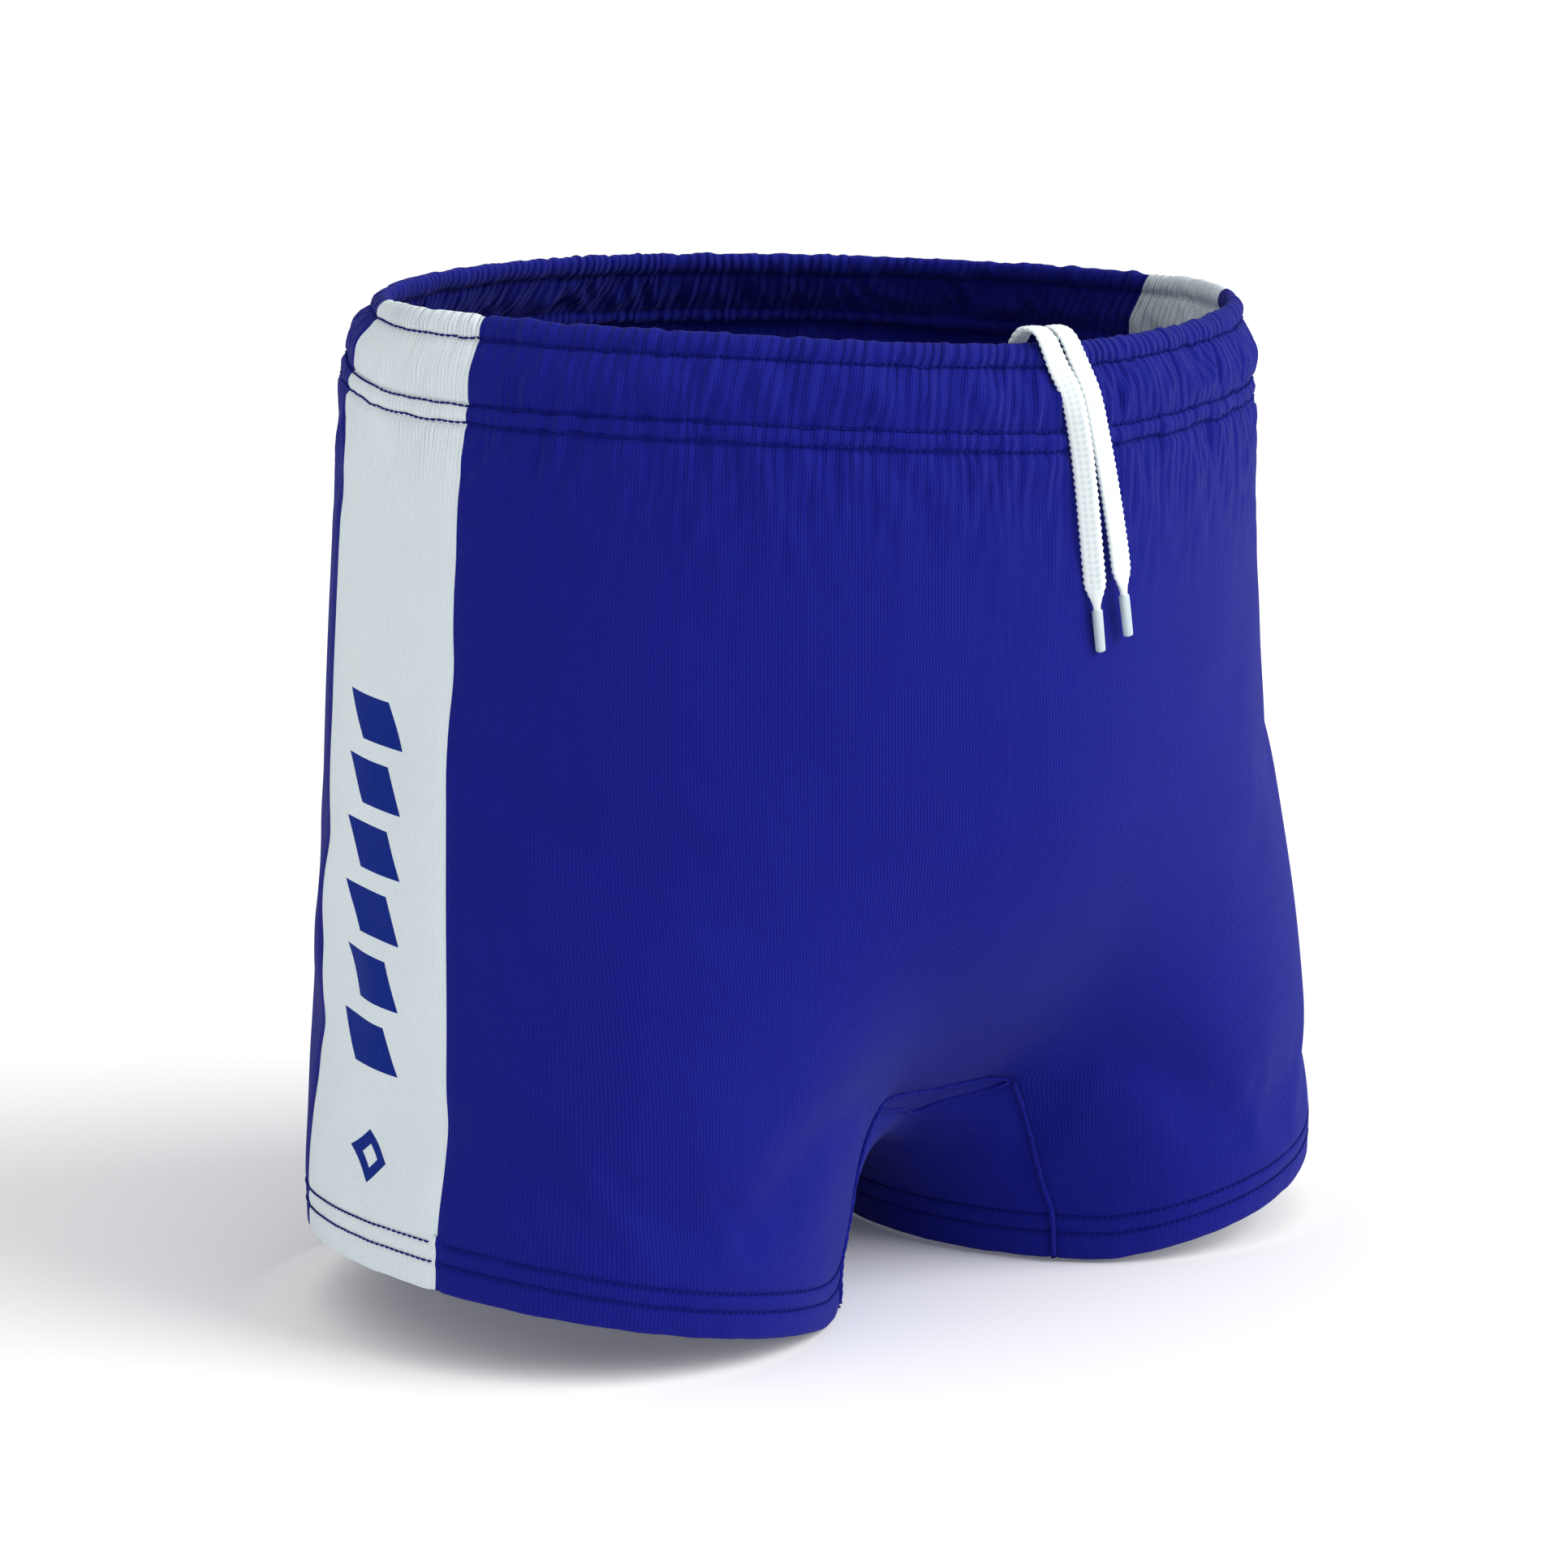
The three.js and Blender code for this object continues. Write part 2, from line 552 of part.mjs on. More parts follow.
// ---- assembly ----
addPiece("front_panel", frontPanel(), "blue");
addPiece("back_panel", backPanel(), "blue");
addPiece("side_panel_right", sidePanel(-1), "white");
addPiece("side_panel_left", sidePanel(1), "white");
addPiece("crotch_gusset", gusset(), "blue");
addPiece("waist_elastic", waistElastic(), "elastic");
addPiece("drawcord_in_casing", tunnelCord(), "cord");
addPiece("waist_stitch_row_1", waistRow(ROW_1), "navy");
addPiece("waist_stitch_row_2", waistRow(ROW_2), "navy");
addPiece("waist_stitch_row_3", waistRow(ROW_3), "navy");
addPiece("gusset_seam_front", gussetSeam(0, 0.45), "blue");
addPiece("gusset_seam_back", gussetSeam(1, 0.4), "blue");
for (const [side, sign] of [["right", -1], ["left", 1]]) {
  addPiece(`hem_stitch_upper_${side}`, hemRow(sign, HEM_ROW_UPPER), "navy");
  addPiece(`hem_stitch_lower_${side}`, hemRow(sign, HEM_ROW_LOWER), "navy");
  addPiece(`side_seam_front_${side}`, sideSeam(sign * SIDE_FRONT), "blue");
  addPiece(`side_seam_back_${side}`, sideSeam(sign * SIDE_BACK), "blue");
  addPiece(`inseam_${side}`, inseam(sign), "blue");
  addPiece(`eyelet_${side}`, eyelet(sign), "navy");
  addCord(side);
}

export default shorts;
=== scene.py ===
import math

import bpy
import numpy as np
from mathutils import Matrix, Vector, noise
from mathutils.bvhtree import BVHTree
from mathutils.kdtree import KDTree


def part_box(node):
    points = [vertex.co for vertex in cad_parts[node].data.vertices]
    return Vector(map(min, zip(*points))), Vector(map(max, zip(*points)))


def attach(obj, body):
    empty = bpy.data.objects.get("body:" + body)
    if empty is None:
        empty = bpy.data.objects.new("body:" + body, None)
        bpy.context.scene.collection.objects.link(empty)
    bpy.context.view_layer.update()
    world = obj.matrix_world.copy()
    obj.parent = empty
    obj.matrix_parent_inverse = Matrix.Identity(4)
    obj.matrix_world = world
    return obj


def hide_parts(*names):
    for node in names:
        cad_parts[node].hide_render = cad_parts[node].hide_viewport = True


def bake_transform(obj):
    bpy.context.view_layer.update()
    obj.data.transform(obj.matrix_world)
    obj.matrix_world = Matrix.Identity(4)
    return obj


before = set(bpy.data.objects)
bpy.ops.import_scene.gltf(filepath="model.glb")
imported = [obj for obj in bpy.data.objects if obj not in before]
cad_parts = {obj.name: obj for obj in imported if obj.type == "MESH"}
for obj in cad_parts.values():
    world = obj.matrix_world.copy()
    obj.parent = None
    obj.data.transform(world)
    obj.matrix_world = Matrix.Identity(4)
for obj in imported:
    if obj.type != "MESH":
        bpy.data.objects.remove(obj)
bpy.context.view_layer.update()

bl_info = {
    "name": "Boxing Shorts",
    "version": (1, 0, 0),
    "blender": (4, 5, 0),
    "location": "View3D > Sidebar > Shorts",
    "description": "Knitted boxing shorts with stitched waist and hems and a braided drawcord",
    "category": "Object",
}

MM = 0.001

# ---------------------------------------------------------------- the shape, in millimetres
RIM_Z = 325
RIM_HALF_WIDTH = 164
RIM_HALF_DEPTH = 115
RIM_TILT = 9
BODY_MIDDLE = 6.8
LEG_INNER_X = 21
LEG_HALF_WIDTH = 84
LEG_HALF_DEPTH = 96
HEM_RISE = 0.2
HEM_FLAT = 39
BAND_HEIGHT = 36
HEM_DEPTH = 18
BAND_FOLD = 2.6  # radius of the turn at the waist edge
HEM_FOLD = 0.8  # radius of the turn at the hem
ROWS_WAIST = (8.7, 28.5, 34.5)
ROWS_HEM = (15.5, 9.5)
UPPER_ROWS = 24  # rows of the grid from the casing down to the crotch level

# Columns run down the shorts: 0 at the front centre, BACK at the back centre, 1 at the inseam.
INSEAM, SIDE_FRONT, SIDE_BACK, BACK, GUSSET = 0.06, 0.36, 0.5, 0.8, 0.96
COLUMNS = [0, INSEAM, 0.13, 0.22, SIDE_FRONT, 0.44, SIDE_BACK, 0.6, 0.7, BACK, 0.86, 0.92, GUSSET, 1]
BEARING = [0, 12, 27, 45, 71, 90, 102, 130, 155, 180]
# Rise of the waist edge above a plain tilted one, by column; none at the front, where the cords cross.
RIM_RISE = [0, 0.3, 1.5, 3, 3.6, 3, 2.4, 2.6, 3, 3]
HEM_BEARING = [-60, -45, -20, 12, 66, 92, 118, 147, 178, 215, 245, 270, 292, 315]
CROTCH_X = [0, 28, 70, 122, 178, 188.5, 184, 146, 88, 0, 0, 0, 0, 28]
CROTCH_Y = [-62, -60, -100, -104, -38, 0, 35, 94, 126, 108, 50, 0, -47, -60]
CROTCH_Z = [64, 65, 75, 86, 96, 99, 99, 92, 88, 104, 70, 59, 57, 65]
FLARE = [2.2, 2.2, 1.3, 1, 1, 1, 1, 1, 1, 1.6, 2.6, 3, 3, 2.2]
SECTIONS = [(0.925, 168, 127, 9, 1.08), (0.668, 177, 131, 12, 1.08), (0.43, 184, 136, 6, 1.08)]
FRONT_PANEL, BACK_PANEL, SIDE_RIGHT, SIDE_LEFT, GUSSET_PANEL = range(5)
PANEL_NODES = ["front_panel", "back_panel", "side_panel_right", "side_panel_left", "crotch_gusset"]


def power(value, n):
    return np.sign(value) * np.abs(value) ** n


def follow(knots, values, at):
    """A smooth curve through values at knots that never overshoots them."""
    i = 0
    while i < len(values) - 2 and at > knots[i + 1]:
        i += 1

    def step(k):
        return (values[k + 1] - values[k]) / (knots[k + 1] - knots[k])

    def slope(k):
        if k == 0:
            return step(0)
        if k == len(values) - 1:
            return step(k - 1)
        product = step(k - 1) * step(k)
        return 0 if product <= 0 else 2 * product / (step(k - 1) + step(k))

    width = knots[i + 1] - knots[i]
    t = (at - knots[i]) / width
    start = values[i] * (1 + 2 * t) * (1 - t) ** 2 + slope(i) * width * t * (1 - t) ** 2
    return start + values[i + 1] * t * t * (3 - 2 * t) - slope(i + 1) * width * t * t * (1 - t)


def body_point(bearing, z, half_width, half_depth, middle, squareness):
    turn = math.radians(bearing)
    x = half_width * power(math.sin(turn), squareness)
    return np.array([x, middle - half_depth * power(math.cos(turn), squareness), z])


def hem_point(bearing):
    turn = math.radians(bearing)
    out = LEG_HALF_WIDTH * (1 + math.sin(turn))
    rise = HEM_RISE * max(0, out - HEM_FLAT)
    return np.array([LEG_INNER_X + out, -LEG_HALF_DEPTH * math.cos(turn), rise])


def part_way(knots, low, high, start, end, t):
    """From start at one knot to end at another, in proportion to where t lies between them."""
    return ((knots[high] - t) * start + (t - knots[low]) * end) / (knots[high] - knots[low])


def spline(points, per_span=16):
    """A Catmull-Rom curve through points, as a dense polyline."""
    p = np.vstack([2 * points[0] - points[1], points, 2 * points[-1] - points[-2]])
    strides = np.maximum(np.linalg.norm(np.diff(p, axis=0), axis=1), 1e-6) ** 0.5
    knots = np.concatenate([[0], np.cumsum(strides)])
    out = []
    for k in range(1, len(p) - 2):
        for t in np.linspace(knots[k], knots[k + 1], per_span, endpoint=False):
            a = [part_way(knots, k + j - 1, k + j, p[k + j - 1], p[k + j], t) for j in (0, 1, 2)]
            b = [part_way(knots, k + j - 1, k + j + 1, a[j], a[j + 1], t) for j in (0, 1)]
            out.append(part_way(knots, k, k + 1, b[0], b[1], t))
    out.append(p[-2])
    return np.array(out)


def column(at):
    """One column as a polyline with the distances along it, and the distance at the crotch level."""
    crotch = np.array([follow(COLUMNS, v, at) for v in (CROTCH_X, CROTCH_Y, CROTCH_Z)])
    points = []
    if at <= BACK:
        bearing = follow(COLUMNS, BEARING, at)
        rise = -RIM_TILT * math.cos(math.radians(bearing)) + follow(COLUMNS, RIM_RISE, at)
        points.append(body_point(bearing, RIM_Z + rise, RIM_HALF_WIDTH, RIM_HALF_DEPTH, 0, 1.19))
        for share, *sizes in SECTIONS:
            points.append(body_point(bearing, RIM_Z * share + (rise if share > 0.9 else 0), *sizes))
    points.append(crotch)
    above = len(points) - 1
    if at >= INSEAM:
        hem = hem_point(follow(COLUMNS, HEM_BEARING, at))
        flare = follow(COLUMNS, FLARE, at)
        for share in (0.25, 0.5, 0.75, 1):
            point = crotch + (hem - crotch) * (1 - (1 - share) ** flare)
            point[2] = crotch[2] + (hem[2] - crotch[2]) * share
            points.append(point)
    line = spline(np.array(points))
    lengths = np.concatenate([[0], np.cumsum(np.linalg.norm(np.diff(line, axis=0), axis=1))])
    return line, lengths, lengths[above * 16]


def down_column(line, lengths, downs):
    return np.stack([np.interp(downs, lengths, line[:, i]) for i in range(3)], -1)


class Lattice:
    """The cloth as one grid of quads: both halves, joined at the centre lines and the inseams."""

    def __init__(self, column_gap=5.8):
        self.points, self.downs, self.ups, self.keys = [], [], [], {}
        self.faces, self.panels, self.corner_uvs = [], [], []
        marks = [0, INSEAM, SIDE_FRONT, SIDE_BACK, BACK, GUSSET, 1]
        lengths = [30, 175, 80, 200, 150, 30]
        self.at = [0.0]
        self.mark = [0]
        for low, high, length in zip(marks, marks[1:], lengths):
            count = max(2, round(length / column_gap))
            self.at += list(np.linspace(low, high, count + 1)[1:])
            self.mark.append(len(self.at) - 1)
        self.upper = [0, BAND_FOLD, ROWS_WAIST[0], 15, 22, ROWS_WAIST[1], ROWS_WAIST[2]]
        self.n_upper = len(self.upper) + UPPER_ROWS
        self.n_lower = 12
        self.build()

    def rows(self, length, crotch, at):
        upper = np.array([])
        if at <= BACK + 1e-9:
            shares = np.linspace(0, 1, UPPER_ROWS + 1)[1:]
            upper = np.concatenate([self.upper, self.upper[-1] + (crotch - self.upper[-1]) * shares])
        lower = np.array([])
        if at >= INSEAM - 1e-9:
            hem = [HEM_DEPTH, ROWS_HEM[0], 12.5, ROWS_HEM[1], 5, HEM_FOLD * 1.5, 0]
            shares = np.linspace(0, 1, 7)[1:-1]
            lower = crotch + (length - HEM_DEPTH - crotch) * shares
            lower = np.concatenate([lower, [length - up for up in hem]])
        return upper, lower

    def vertex(self, sign, i, row, point, down, up):
        last = len(self.at) - 1
        knee = self.knee
        if i == last and row >= knee:
            i = self.mark[1]
        central = i == 0 or (row <= knee and i == self.mark[4])
        central = central or (row == knee and self.mark[4] <= i <= self.mark[5])
        key = (0 if central else sign, i, row)
        if key not in self.keys:
            self.keys[key] = self.new_point([0 if central else sign * point[0], point[1], point[2]], down, up)
        return self.keys[key]

    def new_point(self, point, down, up):
        self.points.append(point)
        self.downs.append(down)
        self.ups.append(up)
        return len(self.points) - 1

    def build(self):
        self.knee = self.n_upper - 1
        self.bottom = self.knee + self.n_lower
        self.grid, self.girths, self.uv_downs = {}, [], {}
        girth, previous = 0, None
        for i, at in enumerate(self.at):
            line, lengths, crotch = column(at)
            upper, lower = self.rows(lengths[-1], crotch, at)
            offset, first = (0, 0) if len(upper) else (260, self.knee)
            downs = np.concatenate([upper if len(upper) else [0.0], lower])
            points = down_column(line, lengths, downs)
            middle = down_column(line, lengths, [min(120, lengths[-1])])[0]
            girth += 0 if previous is None else np.linalg.norm((middle - previous)[:2])
            previous = middle
            self.girths.append(girth)
            for k, (point, down) in enumerate(zip(points, downs)):
                up = lengths[-1] - down if len(lower) else 999
                self.uv_downs[i, first + k] = down + offset
                for sign in (1, -1):
                    self.grid[sign, i, first + k] = self.vertex(sign, i, first + k, point, down + offset, up)
        for sign in (1, -1):
            self.add_panels(sign)
            self.add_gusset(sign)

    def panel_of(self, i, sign):
        if self.mark[2] <= i < self.mark[3]:
            return SIDE_LEFT if sign > 0 else SIDE_RIGHT
        return FRONT_PANEL if i < self.mark[2] else BACK_PANEL

    def add_panels(self, sign):
        for i in range(len(self.at) - 1):
            start = 0 if i < self.mark[4] else self.knee
            end = self.knee if i < self.mark[1] else self.bottom
            for row in range(start, end):
                places = [(i, row), (i, row + 1), (i + 1, row + 1), (i + 1, row)]
                self.add_face([self.grid[sign, *place] for place in places], self.panel_of(i, sign), sign,
                              [(self.girths[j], self.uv_downs[j, k]) for j, k in places])

    def add_gusset(self, sign):
        """Quads between the front panel's crotch edge and the back panel's, meeting at the corner."""
        count, last = self.mark[1], len(self.at) - 1
        opposite = [self.mark[5] + round((last - self.mark[5]) * k / count) for k in range(count + 1)]
        for k in range(count):
            corners = [self.grid[sign, k, self.knee], self.grid[sign, opposite[k], self.knee],
                       self.grid[sign, opposite[k + 1], self.knee], self.grid[sign, k + 1, self.knee]]
            across = [7 * k, 7 * k, 7 * (k + 1), 7 * (k + 1)]
            uvs = list(zip(across, (300, 312, 312, 300)))
            kept = [j for j, corner in enumerate(corners) if corner not in corners[:j]]
            self.add_face([corners[j] for j in kept], GUSSET_PANEL, sign, [uvs[j] for j in kept])

    def add_face(self, corners, panel, sign, uvs):
        uvs = [(sign * u, v) for u, v in uvs]
        self.faces.append(corners if sign > 0 else corners[::-1])
        self.corner_uvs.append(uvs if sign > 0 else uvs[::-1])
        self.panels.append(panel)

    def turn_edges(self, outward):
        """Turns the waist over inwards as a casing, and the hems up."""
        self.outward = outward.copy()
        self.middle = {key: self.points[index] - outward[index] * BAND_FOLD
                       for key, index in self.grid.items()}
        self.turn(outward, list(range(len(self.upper))), BAND_FOLD, range(self.mark[4]))
        hem_rows = [self.bottom - k for k in range(7)]
        self.turn(outward, hem_rows, HEM_FOLD, range(self.mark[1], len(self.at) - 1))

    def turn(self, outward, rows, radius, columns):
        """Lays a second layer inside the given rows, joined to the outer one by a round fold."""
        waist = rows[0] == 0
        edge, copies = set(), {}
        for sign in (1, -1):
            for i in [*columns, columns[-1] + 1]:
                edge.add(self.grid[sign, i, rows[0]])
                for row in rows[1:]:
                    source = self.grid[sign, i, row]
                    if source not in copies:
                        point = self.points[source] - outward[source] * 2 * radius
                        down, up = self.downs[source], self.ups[source]
                        copies[source] = self.new_point(point, -down if waist else down, up if waist else -up)
        for index in edge:
            self.points[index] = self.points[index] - outward[index] * radius
        for sign in (1, -1):
            for i in columns:
                for near, far in zip(rows, rows[1:]):
                    places = [(i, near), (i + 1, near), (i + 1, far), (i, far)]
                    if not waist:
                        places = [places[0], places[3], places[2], places[1]]
                    quad, uvs = [], []
                    for j, row in places:
                        source = self.grid[sign, j, row]
                        quad.append(copies.get(source, source) if row != rows[0] else source)
                        down = self.uv_downs[j, row]
                        uvs.append((self.girths[j], -down if waist else 2 * self.uv_downs[j, rows[0]] - down))
                    self.add_face(quad, self.panel_of(i, sign), sign, uvs)


# ---------------------------------------------------------------- meshes
def new_object(name, points, faces, smooth=True):
    mesh = bpy.data.meshes.new(name)
    mesh.from_pydata([tuple(p) for p in points], [], faces)
    mesh.update()
    if smooth:
        mesh.shade_smooth()
    obj = bpy.data.objects.new(name, mesh)
    bpy.context.scene.collection.objects.link(obj)
    return obj


def coordinates(mesh):
    flat = np.empty(len(mesh.vertices) * 3)
    mesh.vertices.foreach_get("co", flat)
    return flat.reshape(-1, 3)


def normals(mesh):
    flat = np.empty(len(mesh.vertices) * 3)
    mesh.vertex_normals.foreach_get("vector", flat)
    return flat.reshape(-1, 3)


def set_coordinates(mesh, points):
    mesh.vertices.foreach_set("co", np.asarray(points).ravel())
    mesh.update()


def baked(obj, name):
    """A plain mesh object of what obj's modifiers make, in obj's place."""
    graph = bpy.context.evaluated_depsgraph_get()
    mesh = bpy.data.meshes.new_from_object(obj.evaluated_get(graph), preserve_all_data_layers=True,
                                           depsgraph=graph)
    result = bpy.data.objects.new(name, mesh)
    mesh.name = name
    bpy.context.scene.collection.objects.link(result)
    old = obj.data
    bpy.data.objects.remove(obj)
    bpy.data.meshes.remove(old)
    return result


def relax(points, faces, fixed, rounds, strength=0.5):
    """Evens the cloth out: each free point moves towards the middle of its neighbours."""
    edges = np.array([(a, b) for face in faces for a, b in zip(face, face[1:] + face[:1])])
    count = np.zeros(len(points))
    np.add.at(count, edges[:, 0], 1)
    np.add.at(count, edges[:, 1], 1)
    for _ in range(rounds):
        total = np.zeros_like(points)
        np.add.at(total, edges[:, 0], points[edges[:, 1]])
        np.add.at(total, edges[:, 1], points[edges[:, 0]])
        middle = total / count[:, None]
        points = points + (middle - points) * (strength * (1 - fixed))[:, None]
    return points


def settle_cloth(obj, held, frames):
    """Lets the cloth fill out under a little air pressure, held where held is 1."""
    group = obj.vertex_groups.new(name="held")
    for i, weight in enumerate(held):
        group.add([i], float(weight), "REPLACE")
    cloth = obj.modifiers.new("cloth", "CLOTH")
    s = cloth.settings
    s.quality = 6
    s.mass = 0.2
    s.tension_stiffness = 25
    s.compression_stiffness = 25
    s.shear_stiffness = 8
    s.bending_stiffness = 1.5
    s.vertex_group_mass = "held"
    s.pin_stiffness = 0.6
    s.use_pressure = True
    s.uniform_pressure_force = 3
    s.effector_weights.gravity = 0
    s.shrink_min = -0.004
    cloth.collision_settings.use_collision = False
    scene = bpy.context.scene
    cloth.point_cache.frame_start = 1
    cloth.point_cache.frame_end = frames
    for number in range(1, frames + 1):
        scene.frame_set(number)
    graph = bpy.context.evaluated_depsgraph_get()
    settled = coordinates(obj.evaluated_get(graph).data)
    obj.modifiers.remove(cloth)
    scene.frame_set(1)
    return settled


# ---------------------------------------------------------------- materials
def linear(hex_colour):
    """An sRGB hex colour as the linear RGBA that nodes use."""
    channels = [int(hex_colour[i:i + 2], 16) / 255 for i in (1, 3, 5)]
    return tuple(c / 12.92 if c <= 0.04045 else ((c + 0.055) / 1.055) ** 2.4 for c in channels) + (1.0,)


def add_node(tree, kind, inputs=(), **settings):
    """Adds a node: settings are its properties, inputs are values or output sockets by name or index."""
    node = tree.nodes.new(kind)
    for name, value in settings.items():
        setattr(node, name, value)
    for name, value in dict(inputs).items():
        if isinstance(value, bpy.types.NodeSocket):
            tree.links.new(value, node.inputs[name])
        else:
            node.inputs[name].default_value = value
    return node


def new_material(name, **sockets):
    material = bpy.data.materials.new(name)
    material.use_nodes = True
    tree = material.node_tree
    shader = tree.nodes["Principled BSDF"]
    for socket, value in sockets.items():
        shader.inputs[socket.replace("_", " ")].default_value = value
    return material, tree, shader


def maths(tree, operation, a, b=0.0, c=0.0):
    return add_node(tree, "ShaderNodeMath", {0: a, 1: b, 2: c}, operation=operation).outputs[0]


WALE_WIDTH, COURSE_HEIGHT = 1.1, 0.95  # the knit's loops, in millimetres
GATHER_WIDTH = 4.1


def knit_material(name, colour, deep, rib_shade_share):
    """Cotton-polyester interlock jersey, knitted in fine upright wales and dyed in the piece:
    matt, with a soft sheen at grazing angles and a fine regular rib."""
    material, tree, shader = new_material(name, Roughness=0.9, Specular_IOR_Level=0.12, Sheen_Weight=0.04,
                                          Sheen_Roughness=0.4)
    uv = add_node(tree, "ShaderNodeUVMap", uv_map="cloth").outputs[0]
    split = add_node(tree, "ShaderNodeSeparateXYZ", {0: uv})
    across, down = split.outputs[0], split.outputs[1]
    # Wales stand 1.1 mm apart here, a little coarser than the real 0.8 mm, so that they show.
    wave = maths(tree, "SINE", maths(tree, "MULTIPLY", across, 2 * math.pi / WALE_WIDTH))
    stagger = maths(tree, "MULTIPLY", wave, 1.4)
    course = maths(tree, "ADD", maths(tree, "MULTIPLY", down, 2 * math.pi / COURSE_HEIGHT), stagger)
    course = maths(tree, "SINE", course)
    loops = maths(tree, "ADD", maths(tree, "MULTIPLY", wave, 0.6), maths(tree, "MULTIPLY", course, 0.4))
    fuzz = add_node(tree, "ShaderNodeTexNoise",
                    {"Vector": uv, "Scale": 1.6, "Detail": 3.0, "Roughness": 0.65}).outputs[0]
    patches = add_node(tree, "ShaderNodeTexNoise", {"Vector": uv, "Scale": 0.035, "Detail": 2.0}).outputs[0]
    # Painted shade: the colour moves towards deep in the dips of the knit's loops, where the bump sinks; fuzz
    # and patches add random mottled tone.
    shade = maths(tree, "ADD", maths(tree, "MULTIPLY", loops, rib_shade_share),
                  maths(tree, "MULTIPLY", fuzz, 0.75))
    shade = maths(tree, "ADD", shade, maths(tree, "MULTIPLY", patches, 0.25))
    mix = add_node(tree, "ShaderNodeMix", {0: shade, 6: deep, 7: colour}, data_type="RGBA", clamp_factor=True)
    tree.links.new(mix.outputs[2], shader.inputs["Base Color"])
    pleat = pleats(tree, across, down)
    weave = add_node(tree, "ShaderNodeBump",
                     {"Strength": 0.55, "Distance": 0.0003, "Height": maths(tree, "ADD", loops, fuzz)})
    bump = add_node(tree, "ShaderNodeBump",
                    {"Strength": 0.75, "Distance": 0.0008, "Height": pleat, "Normal": weave.outputs[0]})
    tree.links.new(bump.outputs[0], shader.inputs["Normal"])
    return material


def pleats(tree, across, down):
    """The small upright gathers that the elastic draws up, 4 mm apart, fading out below the casing."""
    wander = add_node(tree, "ShaderNodeCombineXYZ",
                      {0: maths(tree, "MULTIPLY", across, 0.05), 1: maths(tree, "MULTIPLY", down, 0.02)})
    drift = add_node(tree, "ShaderNodeTexNoise",
                     {"Vector": wander.outputs[0], "Scale": 1.0, "Detail": 2.0}).outputs[0]
    phase = maths(tree, "ADD", maths(tree, "MULTIPLY", across, 2 * math.pi / GATHER_WIDTH),
                  maths(tree, "MULTIPLY", drift, 16))
    ridge = maths(tree, "SINE", phase)
    fade = add_node(tree, "ShaderNodeMapRange", {0: down, 1: 34.0, 2: 75.0, 3: 1.0, 4: 0.0},
                    interpolation_type="SMOOTHSTEP").outputs[0]
    near = add_node(tree, "ShaderNodeMapRange", {0: down, 1: 8.0, 2: 12.0, 3: 1.0, 4: 0.55},
                    interpolation_type="SMOOTHSTEP").outputs[0]
    patch = add_node(tree, "ShaderNodeMapRange", {0: drift, 1: 0.3, 2: 0.7, 3: 0.35, 4: 1.0}).outputs[0]
    return maths(tree, "MULTIPLY", maths(tree, "MULTIPLY", ridge, patch), maths(tree, "MULTIPLY", fade, near))


def thread_material(colour):
    """Spun polyester sewing thread: navy, with a slight sheen."""
    return new_material("sewing thread", Base_Color=colour, Roughness=0.75, Specular_IOR_Level=0.06)[0]


def braid_material(colour, gap_shade_colour):
    """Flat polyester braid, bleached white: matt, with painted shade in the gaps and grooves between its
    stitches.
    """
    material, tree, shader = new_material("white braid", Roughness=0.72, Sheen_Weight=0.1)
    gap = add_node(tree, "ShaderNodeAttribute", attribute_name="gap").outputs["Fac"]
    mix = add_node(tree, "ShaderNodeMix", {0: gap, 6: colour, 7: gap_shade_colour}, data_type="RGBA")
    tree.links.new(mix.outputs[2], shader.inputs["Base Color"])
    return material


def aglet_material(colour):
    """Cellulose acetate tipping film, shrunk round the cord's end: milky, smooth and glossy, IOR 1.48."""
    return new_material("aglet plastic", Base_Color=colour, Roughness=0.14, IOR=1.48,
                        Transmission_Weight=0.35)[0]


def elastic_material(colour):
    """Knitted elastic, about 26 mm wide: white, ribbed across every 1.5 mm."""
    material, tree, shader = new_material("knitted elastic", Base_Color=colour, Roughness=0.8)
    place = add_node(tree, "ShaderNodeTexCoord").outputs["Object"]
    ribs = add_node(tree, "ShaderNodeTexWave", {"Vector": place, "Scale": 105.0}, bands_direction="Z")
    bump = add_node(tree, "ShaderNodeBump",
                    {"Strength": 0.5, "Distance": 0.0003, "Height": ribs.outputs["Fac"]})
    tree.links.new(bump.outputs[0], shader.inputs["Normal"])
    return material


def between(tree, value, low, high):
    above = maths(tree, "GREATER_THAN", value, low)
    return maths(tree, "MULTIPLY", above, maths(tree, "LESS_THAN", value, high))


